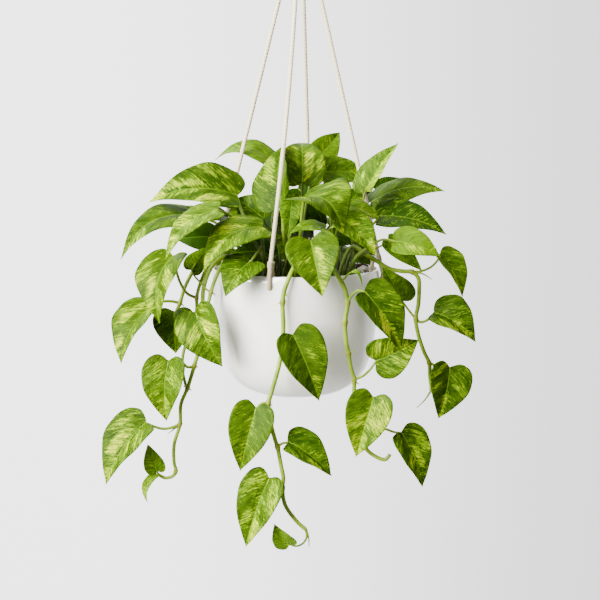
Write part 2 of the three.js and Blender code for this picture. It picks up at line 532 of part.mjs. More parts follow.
function cordLeg(degrees) {
  const places = cordRoute(degrees);
  const steps = places.length - 1;
  const route = new THREE.CatmullRomCurve3(places, false, 'catmullrom', 0.5);
  // The steps stand at the route's own places, which lie closer together at the bends.
  route.getUtoTmapping = (share) => share;
  const corners = Array.from({ length: 8 }, (_, i) => {
    const turn = ((i + 0.5) * Math.PI) / 4;
    return new THREE.Vector2(Math.cos(turn), Math.sin(turn)).multiplyScalar(CORD_DIAMETER / 2);
  });
  const section = new THREE.Shape(corners);
  return solid(new THREE.ExtrudeGeometry(section, { steps, extrudePath: route, bevelEnabled: false }));
}

// The whipping binds the cords under the ring, and the cords pass over the ring's wire in two loops.
function cordGather() {
  const bottom = WHIPPING_TOP - WHIPPING_HEIGHT;
  const binding = new THREE.LatheGeometry([
    [0, bottom], [WHIPPING_RADIUS - 1.2, bottom], [WHIPPING_RADIUS, bottom + 2],
    [WHIPPING_RADIUS, WHIPPING_TOP - 2], [WHIPPING_RADIUS - 1.2, WHIPPING_TOP], [0, WHIPPING_TOP],
  ].map(([radius, height]) => new THREE.Vector2(radius, height)), 16);
  binding.rotateX(Math.PI / 2);
  const wireZ = -(2 * RING_RADIUS - RING_WIRE);
  const reach = RING_WIRE + CORD_DIAMETER / 2 + 3 * GAP;
  const loops = [-1, 1].map((hand) => {
    const x = hand * (CORD_DIAMETER / 2 + GAP);
    const over = [180, 150, 120, 90, 60, 30, 0].map((degrees) => {
      const turn = THREE.MathUtils.degToRad(degrees);
      return new THREE.Vector3(x, reach * Math.cos(turn), wireZ + reach * Math.sin(turn));
    });
    const ends = [-reach, reach].map((y) => new THREE.Vector3(x, y, WHIPPING_TOP - 2));
    const places = [ends[0], ...over, ends[1]];
    return stalk(places, places.map(() => CORD_DIAMETER / 2), 8);
  });
  return fused([solid(binding), ...loops]);
}

function ring() {
  const geometry = new THREE.TorusGeometry(RING_RADIUS, RING_WIRE, 8, 20);
  geometry.rotateX(Math.PI / 2);
  geometry.translate(0, 0, RING_WIRE - RING_RADIUS);
  return solid(geometry);
}

const group = new THREE.Group();

function place(name, body, look) {
  const part = new THREE.Mesh(geometryOf(body), new THREE.MeshStandardMaterial(COLOURS[look]));
  part.name = name;
  group.add(part);
}

place('ring', ring(), 'steel');
place('cord_gather', cordGather(), 'cord');
Object.entries(CORD_HOLES).forEach(([name, degrees]) => place(name, cordLeg(degrees), 'cord'));
place('pot', bowl(), 'pot');
place('soil', soil(), 'soil');
Object.keys(STEMS).forEach((name) => place(name, leafyStem(name), 'leaf'));

export default group;
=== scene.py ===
# Potted golden pothos in a white glazed bowl on four cords: the looks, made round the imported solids.
import math
import random

import bpy
import numpy as np
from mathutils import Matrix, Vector


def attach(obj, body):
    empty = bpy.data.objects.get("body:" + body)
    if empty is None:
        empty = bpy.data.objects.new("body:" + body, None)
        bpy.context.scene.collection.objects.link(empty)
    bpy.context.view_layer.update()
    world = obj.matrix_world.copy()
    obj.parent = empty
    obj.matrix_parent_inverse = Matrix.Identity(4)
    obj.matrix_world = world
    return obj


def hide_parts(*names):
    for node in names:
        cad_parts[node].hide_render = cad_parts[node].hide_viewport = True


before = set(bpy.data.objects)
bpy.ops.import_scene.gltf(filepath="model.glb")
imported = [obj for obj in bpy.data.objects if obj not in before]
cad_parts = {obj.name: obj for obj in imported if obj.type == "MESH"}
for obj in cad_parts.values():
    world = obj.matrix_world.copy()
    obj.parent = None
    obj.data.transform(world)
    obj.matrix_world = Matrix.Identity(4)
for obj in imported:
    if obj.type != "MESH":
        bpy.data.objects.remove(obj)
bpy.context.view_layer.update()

MM = 0.001

# Driving dimensions, in millimetres. They are the part's own, but for the cord holes, the blades and the
# joints of the stems, which are drawn a little finer here.
CORD_DIAMETER = 5.2
FRONT_CORD_BOW = 4
RING_RADIUS = 15
RING_WIRE = 2
WHIPPING_RADIUS = 8.4
WHIPPING_TOP = -38
WHIPPING_HEIGHT = 24
POT_X = -6
RIM_Z = -467
HOLE_BELOW_LIP = 12.6
HOLE_RADIUS = 3.4
SOIL_TOP = -18
STEM_BURIED = 14
BLADE_LIFT = 0.4
BLADE_THICKNESS = 0.7
STALK_RADIUS = 1
STALK_WIDENS = 72
STALK_THINS = 0.22
STALK_UNDER_RIB = 6
JOINT_SWELL = 0.38
JOINT_HALF = 2.6

# The cord holes, in degrees round the pot from the viewer's side towards +X
CORD_HOLES = {"cord_front": -17, "cord_right": 81, "cord_back": 169.5, "cord_left": 253.5}

# The bowl's outer and inner outlines: radius, and height from the top of the lip
BOWL_OUTSIDE = [
    (0.6, -150), (42, -150), (57, -146), (73, -135.5), (84, -121), (91.5, -99), (96.5, -71), (100, -38),
    (101, -14), (100.5, -2.5), (99, -0.4),
]
BOWL_INSIDE = [
    (97.4, 0), (96, -0.4), (94.5, -2.5), (94.8, -14), (92, -55), (84.6, -97), (72, -125), (50, -140),
    (0.6, -143),
]

# Places on the plant are read from the front as [u, w, d]. u runs to the right and w up in the picture
# plane through the middle of the lip. d is the depth towards the viewer from the pot's axis.
EYE = Vector((POT_X + 5, -1989, RIM_Z + 216))
PICTURE_LEAN = math.radians(7.3)

# Each leafy stem: its foot in the soil, its thickness from foot to tip, the places that it runs through, its
# swollen joints, and sheath tips or stubs of roots along their own short routes
STEMS = {
    "vine_front": {
        "base": [0, -66], "thick": [2.7, 2.4],
        "stem": [[0, 4, 86], [-3, -1, 97], [-9, -14, 106], [-14, -28, 107], [-16, -41, 107],
            [-15, -68, 107],
            [-16, -92, 107], [-20, -116, 107], [-30, -152, 107], [-33, -162, 107], [-31, -182, 107],
            [-25, -206, 107], [-22, -215, 107], [-18, -236, 107], [-15, -252, 107], [-16, -264, 107],
            [-13, -284, 107], [2, -305, 107], [12, -314, 107]],
        "joints": [4, 6, 9, 12, 15],
        "spikes": [[[12, -313, 107], [15, -322, 107], [16, -335, 107]], [[-16, -41, 107], [-21, -43, 109]],
            [[-14, -30, 107], [-9, -35, 109]], [[-33, -162, 107], [-28, -166, 108]]],
    },
    "vine_mid_right": {
        "base": [33, -58], "thick": [2.9, 2.3],
        "stem": [[39, 8, 84], [45, -1, 93], [54, -16, 99], [59, -26, 99], [62, -42, 98], [59, -65, 97],
            [60, -86, 96], [63, -103, 96], [66, -120, 95], [70, -134, 94], [70, -149, 93], [74, -176, 92],
            [78, -197, 92], [83, -215, 93], [92, -224, 95], [107, -230, 96], [113, -224, 97]],
        "joints": [4, 5, 7, 9, 13],
        "spikes": [[[63, -103, 96], [70, -99, 97]], [[70, -135, 94], [76, -140, 95]], [[59, -66, 97],
            [54, -68, 98]]],
    },
    "vine_right": {
        "base": [50, -20], "thick": [2.8, 2.3],
        "stem": [[68, 26, 30], [83, 17, 36], [99, 7, 40], [113, -1, 42], [128, -4, 43], [140, -5, 44],
            [147, -12, 45], [148, -26, 45], [147, -44, 45], [144, -61, 45], [147, -80, 45], [154, -101, 45],
            [160, -114, 45], [161, -132, 45], [163, -146, 45]],
        "joints": [5, 9, 12, 14],
        "spikes": [[[163, -146, 45], [155, -158, 46], [145, -168, 46]], [[140, -5, 44], [152, -7, 46],
            [164, -14, 48]]],
    },
    "vine_left_a": {
        "base": [-64, 2], "thick": [2.5, 2.2],
        "stem": [[-88, 18, 12], [-105, 15, 14], [-112, 7, 15], [-123, -4, 16], [-133, -23, 17],
            [-139, -42, 18], [-144, -54, 18]],
        "joints": [3, 5],
        "spikes": [[[-139, -42, 18], [-134, -46, 19]]],
    },
    "vine_left_b": {
        "base": [-60, -18], "thick": [2.4, 1.8],
        "stem": [[-86, 14, 28], [-100, 11, 30], [-108, -2, 31], [-113, -14, 32], [-117, -26, 32],
            [-119, -36, 32], [-119, -50, 32], [-122, -64, 33], [-129, -84, 36], [-135, -102, 40],
            [-136, -122, 43], [-132, -142, 43]],
        "joints": [5],
        "spikes": [],
    },
    "vine_left_c": {
        "base": [-50, -46], "thick": [2.5, 2.2],
        "stem": [[-76, 12, 52], [-84, 8, 58], [-91, -1, 62], [-97, -14, 64], [-102, -29, 64],
            [-105, -41, 65], [-111, -49, 67]],
        "joints": [4],
        "spikes": [[[-101, -29, 64], [-96, -33, 65]]],
    },
    "vine_left_d": {
        "base": [-56, -32], "thick": [2.9, 2.0],
        "stem": [[-82, 13, 40], [-93, 10, 44], [-100, 3, 47], [-107, -11, 49], [-111, -26, 50],
            [-112, -42, 50], [-115, -74, 50], [-118, -104, 50], [-122, -118, 50], [-130, -144, 50],
            [-138, -164, 50], [-139, -187, 50], [-146, -212, 50], [-146, -234, 50], [-144, -244, 50],
            [-148, -250, 50], [-157, -252, 50], [-165, -248, 51]],
        "joints": [8, 9, 11, 14],
        "spikes": [[[-139, -188, 50], [-147, -194, 51], [-154, -199, 52]], [[-130, -144, 50],
            [-125, -147, 51]], [[-130, -143, 50], [-135, -142, 51]], [[-122, -118, 50], [-117, -119, 51]]],
    },
    "vine_rear_left": {
        "base": [-30, 64], "thick": [2.6, 2],
        "stem": [[-31, 24, -80], [-32, 22, -94], [-34, 6, -106], [-36, -24, -108], [-40, -56, -107],
            [-44, -88, -106]],
        "joints": [3, 4, 5],
        "spikes": [],
    },
    "vine_rear_right": {
        "base": [34, 60], "thick": [2.6, 2],
        "stem": [[37, 24, -76], [40, 20, -92], [46, 4, -104], [50, -24, -106], [52, -54, -106],
            [50, -84, -105]],
        "joints": [3, 4, 5],
        "spikes": [],
    },
    "crown_left_high": { "base": [-38, -8], "thick": [3, 2.2], "stem": [[-48, 22, 12], [-52, 40, 14]] },
    "crown_left_back": { "base": [-20, 20], "thick": [3, 2.2], "stem": [[-25, 30, -22], [-28, 58, -28]] },
    "crown_left_side": { "base": [-52, 18], "thick": [3, 2.2], "stem": [[-66, 20, -14], [-76, 36, -10]] },
    "crown_left_front": { "base": [-30, -46], "thick": [3, 2.2], "stem": [[-38, 10, 56], [-40, 26, 62]] },
    "crown_mid": { "base": [-9, -20], "thick": [3, 2.2], "stem": [[-12, 20, 28], [-15, 45, 36]] },
    "crown_mid_back": { "base": [6, 8], "thick": [3, 2.2], "stem": [[6, 30, -4], [7, 60, 2]] },
    "crown_mid_right": { "base": [14, -36], "thick": [3, 2.2], "stem": [[10, 10, 42], [5, 34, 48]] },
    "crown_front": { "base": [22, -64], "thick": [3, 2.2], "stem": [[24, 4, 70], [24, 14, 76]] },
    "crown_right_back": { "base": [38, 20], "thick": [3, 2.2], "stem": [[46, 30, -14], [54, 54, -8]] },
    "crown_right": { "base": [56, 0], "thick": [3, 2.2], "stem": [[68, 24, 4], [76, 40, 8]] },
    "crown_right_front": { "base": [60, -38], "thick": [3, 2.2], "stem": [[72, 12, 48], [84, 22, 54]] },
    "crown_rear_left": { "base": [-46, 42], "thick": [3, 2.2], "stem": [[-52, 24, -52], [-56, 40, -58]] },
    "crown_rear_mid": { "base": [-4, 46], "thick": [3, 2.2], "stem": [[-6, 26, -54], [-8, 44, -60]] },
    "crown_rear_right": { "base": [50, 44], "thick": [3, 2.2], "stem": [[54, 24, -52], [60, 40, -56]] },
}

# Each leaf: the stem it grows on and the place on that stem, the foot of its blade, its tip, the way its
# upper side faces as [right, up, towards the viewer], its width, how far its rib arches, how steeply its
# halves fold up from the rib, and the places its stalk runs through
LEAVES = [
    ["front_1", "vine_front", 6, [-3, -81, 118], [28, -160, 122], [33, 16, 93], 56, 5, 0.55,
        [[-10, -88, 112]]],
    ["front_2", "vine_front", 9, [-48, -169, 111], [-67, -244, 115], [-12, 10, 98], 51, 6, 0.5,
        [[-41, -163, 109]]],
    ["front_3", "vine_front", 12, [-9, -209, 110], [43, -250, 118], [52, 58, 63], 48, 5, 0.6,
        [[-17, -211, 109]]],
    ["front_4", "vine_front", 15, [-32, -253, 112], [-60, -335, 117], [-41, 18, 90], 53, 6, 0.55,
        [[-24, -257, 110]]],
    ["front_5", "vine_front", 18, [-8, -332, 107], [-26, -307, 112], [-35, -30, 88], 29, 3, 0.4,
        [[13, -323, 107], [8, -331, 107], [0, -334, 107]]],
    ["mid_right_1", "vine_mid_right", 4, [83, -29, 106], [126, -102, 116], [55, 32, 77], 57, 7, 0.6,
        [[67, -33, 101], [75, -27, 105]]],
    ["mid_right_2", "vine_mid_right", 2, [57, -14, 103], [80, -23, 112], [0, 98, 20], 12, 15, 0.3, []],
    ["mid_right_3", "vine_mid_right", 9, [97, -111, 88], [148, -86, 96], [-8, -12, 99], 50, 5, 0.45,
        [[80, -130, 94], [89, -122, 90]]],
    ["mid_right_4", "vine_mid_right", 11, [93, -156, 104], [72, -227, 109], [-12, 12, 98], 53, 6, 0.5,
        [[84, -166, 97]]],
    ["mid_right_5", "vine_mid_right", 12, [127, -198, 90], [152, -263, 98], [58, 20, 78], 49, 5, 0.6,
        [[92, -192, 89], [106, -193, 88], [118, -197, 88]]],
    ["right_1", "vine_right", 9, [166, -54, 49], [216, -89, 62], [41, 58, 71], 56, 8, 0.65,
        [[149, -65, 45], [157, -63, 46]]],
    ["right_2", "vine_right", 9, [127, -39, 50], [104, 2, 80], [10, 10, 95], 39, 4, 0.4, [[138, -54, 46]]],
    ["right_3", "vine_right", 12, [185, -120, 54], [171, -181, 60], [28, 5, 95], 53, 5, 0.55,
        [[168, -117, 46], [177, -117, 49]]],
    ["right_4", "vine_right", 5, [173, 16, 44], [200, -35, 52], [66, 35, 67], 40, 6, 0.65,
        [[150, -4, 44], [162, 1, 44], [170, 9, 44]]],
    ["left_a_1", "vine_left_a", 5, [-174, -47, 36], [-210, -115, 66], [-60, 45, 60], 63, 10, 0.55,
        [[-150, -40, 21], [-163, -41, 28]]],
    ["left_a_2", "vine_left_a", 6, [-146, -53, 26], [-144, -103, 34], [-10, 20, 97], 50, 4, 0.35, []],
    ["left_b_1", "vine_left_b", 5, [-148, 14, 50], [-163, -67, 78], [-56, 38, 74], 64, 17, 0.45,
        [[-130, -31, 34], [-139, -17, 40], [-145, 3, 46]]],
    ["left_c_1", "vine_left_c", 6, [-120, -54, 73], [-88, -119, 90], [-28, 0, 94], 56, 7, 0.55, []],
    ["left_c_2", "vine_left_c", 4, [-125, -2, 42], [-107, 25, 36], [20, 50, -60], 26, 3, 0.35,
        [[-107, -26, 58], [-115, -17, 50], [-122, -9, 44]]],
    ["left_d_1", "vine_left_d", 8, [-153, -112, 58], [-155, -184, 64], [-32, 15, 90], 54, 9, 0.55,
        [[-130, -119, 53], [-140, -110, 57]]],
    ["left_d_2", "vine_left_d", 11, [-180, -186, 60], [-228, -260, 76], [-58, 38, 68], 63, 9, 0.6,
        [[-147, -191, 51], [-159, -193, 53], [-171, -190, 56]]],
    ["left_d_3", "vine_left_d", 17, [-167, -243, 54], [-178, -211, 58], [-6, 6, 97], 25, 2, 0.4, []],
    ["left_d_4", "vine_left_d", 17, [-168, -248, 54], [-178, -282, 60], [-72, 30, 60], 17, 9, 0.3, []],
    ["rear_a_1", "vine_rear_left", 3, [-58, -30, -116], [-70, -92, -122], [-10, 20, -97], 54, 6, 0.35,
        [[-46, -22, -110]]],
    ["rear_a_2", "vine_rear_left", 5, [-28, -84, -114], [-18, -138, -118], [5, 15, -98], 50, 6, 0.35,
        [[-36, -82, -110]]],
    ["rear_b_1", "vine_rear_right", 3, [66, -30, -114], [72, -88, -120], [5, 20, -98], 48, 6, 0.35,
        [[58, -22, -109]]],
    ["rear_b_2", "vine_rear_right", 5, [32, -82, -112], [24, -138, -116], [0, 15, -98], 50, 6, 0.35,
        [[41, -80, -109]]],
    ["high_1", "crown_left_high", 1, [-71, 87, 2], [-176, 79, 12], [-5, 77, 64], 75, 16, 0.42,
        [[-59, 54, 22], [-67, 74, 8]]],
    ["high_2", "crown_left_high", 0, [-82, 60, 16], [-126, 52, 46], [-10, 80, 60], 42, 8, 0.35,
        [[-64, 44, 14]]],
    ["back_1", "crown_left_back", 1, [-25, 126, -42], [-97, 129, -58], [0, 90, 44], 44, 20, 0.2,
        [[-26, 94, -38]]],
    ["back_2", "crown_left_back", 0, [-40, 60, 5], [-72, 84, -12], [-20, 50, 85], 44, 5, 0.3,
        [[-32, 46, -12]]],
    ["side_1", "crown_left_side", 1, [-120, 62, 6], [-210, 10, 26], [-42, 75, 50], 62, 24, 0.2,
        [[-96, 54, 0]]],
    ["near_1", "crown_left_front", 1, [-41, 49, 56], [-111, -5, 84], [-48, 60, 62], 66, 20, 0.2,
        [[-40, 38, 58]]],
    ["near_2", "crown_left_front", 0, [-94, 70, 68], [-156, 10, 84], [-61, 61, 50], 52, 14, 0.22,
        [[-54, 38, 46], [-76, 61, 44]]],
    ["near_3", "crown_left_front", 1, [-55, 7, 84], [-85, -35, 110], [-20, 66, 70], 50, 8, 0.35,
        [[-48, 16, 74]]],
    ["mid_1", "crown_mid", 1, [-17, 78, 42], [-13, 150, -2], [-78, 28, 55], 68, 7, 0.6, [[-16, 62, 40]]],
    ["mid_2", "crown_mid", 0, [-5, 84, 46], [-10, 36, 60], [10, 25, 95], 27, 4, 0.35,
        [[-4, 50, 36], [-2, 74, 42]]],
    ["mid_3", "crown_mid_back", 1, [8, 103, 12], [6, 150, -39], [5, 75, 66], 56, 14, 0.35, [[8, 84, 8]]],
    ["mid_4", "crown_mid_back", 0, [24, 130, -42], [53, 163, -62], [25, 20, 90],
        36, 4, 0.4, [[13, 80, -24]]],
    ["mid_5", "crown_mid_right", 1, [10, 84, 68], [57, 40, 102], [46, 54, 71], 82, 21, 0.45,
        [[7, 60, 58], [9, 78, 64]]],
    ["mid_6", "crown_mid_right", 0, [57, 57, 72], [96, 14, 96], [30, 50, 78], 43, 7, 0.5,
        [[24, 34, 54], [44, 49, 64]]],
    ["lip_1", "crown_front", 1, [18, 32, 92], [32, -35, 122], [-8, 40, 90], 61, 7, 0.5, [[21, 23, 85]]],
    ["lip_2", "crown_front", 0, [35, 48, 70], [-7, 41, 84], [0, 94, 34], 33, 6, 0.2, [[34, 28, 68]]],
    ["far_1", "crown_right_back", 0, [32, 115, -16], [92, 108, -36], [0, 66, 75], 44, 6, 0.3,
        [[38, 80, -16]]],
    ["far_2", "crown_right", 1, [83, 93, 25], [123, 150, 16], [-64, 43, 64], 37, 3, 0.65, [[78, 66, 20]]],
    ["far_3", "crown_right_back", 0, [54, 65, -4], [80, 97, -20], [-20, 40, 85],
        42, 3, 0.3, [[50, 48, -6]]],
    ["right_high_1", "crown_right", 1, [91, 79, -18], [179, 92, 0], [0, 82, 57], 56, 14, 0, [[84, 62, -8]]],
    ["right_high_2", "crown_right", 1, [101, 62, 25], [181, 40, 39], [5, 82, 58],
        55, 9, 0.38, [[90, 50, 24]]],
    ["right_high_3", "crown_right", 0, [62, 74, 36], [101, 56, 46], [0, 93, 35],
        34, 4, 0.3, [[66, 50, 24]]],
    ["right_low_1", "crown_right_front", 1, [120, 32, 68], [174, 13, 78], [20, 58, 75], 42, 6, 0.4,
        [[104, 34, 64]]],
    ["right_low_2", "crown_right_front", 0, [112, 32, 52], [152, -4, 58], [-60, 70, 35], 24, 4, 0.3,
        [[94, 22, 50]]],
    ["rear_1", "crown_rear_left", 1, [-74, 60, -70], [-122, 40, -112], [-30, 88, -40], 56, 14, 0.35, []],
    ["rear_2", "crown_rear_left", 1, [-46, 72, -78], [-80, 54, -130], [-10, 88, -45], 50, 12, 0.35, []],
    ["rear_3", "crown_rear_left", 0, [-72, 22, -84], [-88, -26, -112], [-40, 50, -75], 50, 9, 0.35, []],
    ["rear_4", "crown_rear_mid", 1, [-14, 78, -62], [-12, 68, -128], [0, 92, -40], 44, 12, 0.35, []],
    ["rear_5", "crown_rear_mid", 0, [-8, 46, -94], [-14, -14, -132], [0, 50, -85], 58, 12, 0.35, []],
    ["rear_6", "crown_rear_right", 1, [58, 82, -62], [84, 72, -122], [20, 90, -40], 56, 16, 0.35, []],
    ["rear_7", "crown_rear_right", 1, [92, 60, -62], [144, 50, -92], [20, 85, -45], 48, 8, 0.35, []],
    ["rear_8", "crown_rear_right", 0, [66, 24, -88], [84, -22, -98], [15, 50, -85], 46, 8, 0.35, []],
    ["rear_9", "crown_rear_right", 0, [46, 58, -80], [54, 32, -134], [10, 70, -70], 44, 10, 0.35, []],
    # The inner leaves stand deep in the crown, and their colours are darkened as painted shade.
    ["inner_1", "crown_left_side", 1, [-99, 37, -47], [-144, 34, -51], [57, 24, 63], 36, 6, 0.37,
        [[-82, 39, -38]]],
    ["inner_2", "crown_rear_mid", 1, [3, 95, -62], [37, 48, -61], [-10, 58, 69], 41, 8, 0.29, []],
    ["inner_3", "crown_rear_left", 1, [-45, 58, -80], [-28, 6, -56], [-43, 64, 67], 47, 5, 0.24, []],
    ["inner_4", "crown_left_back", 1, [-19, 69, -20], [22, 35, -45], [-41, 55, 52], 42, 9, 0.37, []],
    ["inner_5", "crown_left_high", 0, [-27, 14, 13], [-80, 16, 24], [43, 62, 85], 37, 9, 0.33, []],
    ["inner_6", "crown_right_back", 0, [41, 40, -29], [79, 31, -46], [26, 42, 90], 28, 7, 0.22, []],
    ["inner_7", "crown_rear_right", 1, [98, 94, -72], [127, 108, -71], [10, 22, 83], 21, 10, 0.39, []],
]

# Half of a blade's edge, from its foot round the back lobe to the tip: share of the half width, and share of
# the blade's length. The rib starts at RIB_START of the way round.
BLADE_EDGE = [
    (0, 0), (0.18, -0.07), (0.48, -0.115), (0.83, -0.045), (0.99, 0.11), (0.98, 0.29), (0.82, 0.49),
    (0.55, 0.68), (0.26, 0.85), (0.07, 0.95), (0, 1),
]
RIB_START = 0.3
EDGE_DROOP = 0.15
LOBE_TUCK = 1.8
LOBE_TUCK_FROM = 0.25
RIB_ROUNDING = 1.6
EDGE_WAVE = 0.9
BLADE_COLUMNS = 22
BLADE_ROWS = 50
SEED = 7


def mm(place):
    return Vector(place) * MM


def pot_point(radius, degrees, height):
    turn = math.radians(degrees)
    return Vector((POT_X + radius * math.sin(turn), -radius * math.cos(turn), RIM_Z + height))


def seen(place):
    u, w, d = place
    rise = Vector((u, w * math.sin(PICTURE_LEAN), w * math.cos(PICTURE_LEAN)))
    on_plane = rise + Vector((POT_X, 0, RIM_Z))
    return EYE.lerp(on_plane, (-d - EYE.y) / (on_plane.y - EYE.y))


def smooth_path(places, step):
    """Points about a step apart on a smooth line through the places, which may lie unevenly."""
    knots = [2 * places[0] - places[1], *places, 2 * places[-1] - places[-2]]
    path = []
    for before, start, end, after in zip(knots, knots[1:], knots[2:], knots[3:]):
        first, middle, last = [max((b - a).length, 1e-6) ** 0.5 for a, b in
                               ((before, start), (start, end), (end, after))]
        leave = (start - before) / first - (end - before) / (first + middle) + (end - start) / middle
        arrive = (end - start) / middle - (after - start) / (middle + last) + (after - end) / last
        leave *= middle
        arrive *= middle
        count = max(1, round((end - start).length / step))
        for i in range(count):
            t = i / count
            path.append(start * (2 * t ** 3 - 3 * t ** 2 + 1) + leave * (t ** 3 - 2 * t ** 2 + t)
                        + end * (3 * t ** 2 - 2 * t ** 3) + arrive * (t ** 3 - t ** 2))
    return [*path, places[-1].copy()]


def smoothstep(low, high, value):
    t = np.clip((value - low) / (high - low), 0, 1)
    return t * t * (3 - 2 * t)


def deselect():
    if bpy.context.object and bpy.context.object.mode != "OBJECT":
        bpy.ops.object.mode_set(mode="OBJECT")
    bpy.ops.object.select_all(action="DESELECT")


def pick(*objects):
    deselect()
    for one in objects:
        one.select_set(True)
    bpy.context.view_layer.objects.active = objects[0]


def settled(piece, name):
    """The piece's place goes into its mesh."""
    pick(piece)
    bpy.ops.object.transform_apply(location=True, rotation=True, scale=True)
    piece.name = name
    piece.data.name = name
    return piece


def joined(pieces, name):
    pick(*pieces)
    if len(pieces) > 1:
        bpy.ops.object.join()
    return settled(bpy.context.object, name)


def finished(piece, slot, *finishes):
    piece.data.materials.clear()
    for finish in finishes:
        piece.data.materials.append(bpy.data.materials[finish])
    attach(piece, "root")
    return piece


def put(name, data):
    piece = bpy.data.objects.new(name, data)
    bpy.context.scene.collection.objects.link(piece)
    return piece


def write_attribute(mesh, name, values):
    attribute = mesh.attributes.get(name) or mesh.attributes.new(name, "FLOAT", "POINT")
    attribute.data.foreach_set("value", np.asarray(values, np.float32))


def mesh_places(mesh):
    places = np.zeros(len(mesh.vertices) * 3)
    mesh.vertices.foreach_get("co", places)
    return places.reshape(-1, 3)


# Camera: a long lens two metres away, looking a little down
def make_camera():
    lens = bpy.data.cameras.new("camera")
    lens.lens = 100
    lens.sensor_width = 36
    lens.clip_end = 30
    camera = put("camera", lens)
    camera.location = EYE * MM
    camera.rotation_euler = (math.pi / 2 - PICTURE_LEAN, 0, 0)
    bpy.context.scene.camera = camera


# Cords: down from the whipping, over the lip outside, in through the hole and up again inside
STRAND_PITCH = 13
STRAND_DEPTH = 0.15
CORD_SIDES = 20
CORD_STEP = 1.0
CORD_STRANDS = 3
WHIPPING_SPREAD = 4.1
LIP_PASS = (102.6, 3)


def cord_route(name):
    degrees = CORD_HOLES[name]
    heading = pot_point(1, degrees, 0) - pot_point(0, degrees, 0)
    top = heading * WHIPPING_SPREAD
    top.z = WHIPPING_TOP - WHIPPING_HEIGHT - 1
    lip = pot_point(LIP_PASS[0], degrees, LIP_PASS[1])
    down = []
    for share in (0, 0.3, 0.6, 0.95):
        place = top.lerp(lip, share)
        place.x += (FRONT_CORD_BOW if name == "cord_front" else 0) * math.sin(math.pi * share)
        down.append(place)
    turn = [
        (104.4, -3), (104.4, -8.4), (102.6, -12.2), (97.7, -13.4), (92.8, -12.2), (91, -8.4), (91, -3),
        (91.6, 3), (92.8, 10), (93, 15),
    ]
    return [*down, lip, *(pot_point(radius, degrees, height) for radius, height in turn)]


def twisted(name, path, radius, sides, strands, pitch, depth):
    """A twisted cord along a path: its strands show as soft ridges that wind round it."""
    places = []
    around = []
    along = []
    faces = []
    across = Vector((0.36, 0.8, 0.48))
    run = 0
    for i, place in enumerate(path):
        heading = (path[min(i + 1, len(path) - 1)] - path[max(i - 1, 0)]).normalized()
        across = (across - heading * across.dot(heading)).normalized()
        side = heading.cross(across)
        run += (place - path[i - 1]).length if i else 0
        for s in range(sides):
            turn = 2 * math.pi * s / sides
            ridge = abs(math.cos(strands / 2 * (turn - 2 * math.pi * run / pitch)))
            reach = radius * (1 - depth + depth * ridge)
            places.append((place + across * (reach * math.cos(turn)) + side * (reach * math.sin(turn))) * MM)
            around.append(s / sides)
            along.append(run)
            after = (s + 1) % sides
            low = i * sides
            if i + 1 < len(path):
                faces.append((low + s, low + after, low + sides + after, low + sides + s))
    last = (len(path) - 1) * sides
    faces.append(tuple(reversed(range(sides))))
    faces.append(tuple(last + s for s in range(sides)))
    mesh = bpy.data.meshes.new(name)
    mesh.from_pydata(places, [], faces)
    write_attribute(mesh, "along", along)
    write_attribute(mesh, "turn", around)
    piece = put(name, mesh)
    pick(piece)
    bpy.ops.object.shade_smooth_by_angle(angle=math.radians(60))
    return piece


def make_cord(name):
    path = smooth_path(cord_route(name), CORD_STEP)
    piece = twisted(name + "_rope", path, CORD_DIAMETER / 2, CORD_SIDES, CORD_STRANDS, STRAND_PITCH,
                    STRAND_DEPTH)
    finished(piece, "cord", "cotton")
    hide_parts(name)
    wrap = make_splice(name)


# Thread wound round the cord and its own end above the lip
SPLICE_LOW = 10
SPLICE_HIGH = 17
SPLICE_TURNS = 6
THREAD_RADIUS = 0.5
TURN_STEPS = 28
INNER_RADIUS = 92.9


def make_splice(name):
    degrees = CORD_HOLES[name]
    route = cord_route(name)
    top, lip = route[0], route[4]
    path = []
    for i in range(SPLICE_TURNS * TURN_STEPS + 1):
        height = SPLICE_LOW + (SPLICE_HIGH - SPLICE_LOW) * i / (SPLICE_TURNS * TURN_STEPS)
        outer = lip.lerp(top, (height - LIP_PASS[1]) / (top.z - RIM_Z - LIP_PASS[1]))
        outer_radius = (outer - pot_point(0, degrees, 0)).xy.length
        centre = (outer_radius + INNER_RADIUS) / 2
        half = (outer_radius - INNER_RADIUS) / 2
        turn = 2 * math.pi * i / TURN_STEPS
        reach = CORD_DIAMETER / 2 + THREAD_RADIUS * 0.4
        radius = centre + math.copysign(half, math.cos(turn)) * min(1, abs(math.cos(turn)) * 3)
        radius += reach * math.cos(turn)
        place = pot_point(radius, degrees, height)
        tangent = pot_point(1, degrees + 90, 0) - pot_point(0, degrees + 90, 0)
        path.append(place + tangent * (reach * math.sin(turn)))
    piece = twisted(name + "_splice", path, THREAD_RADIUS, 6, 2, 4, 0.05)
    return finished(piece, "cord", "cotton")


# The whipping under the ring, wound in close turns, and the two loops that the cords make over the ring
THREAD_HEIGHT = 1.5


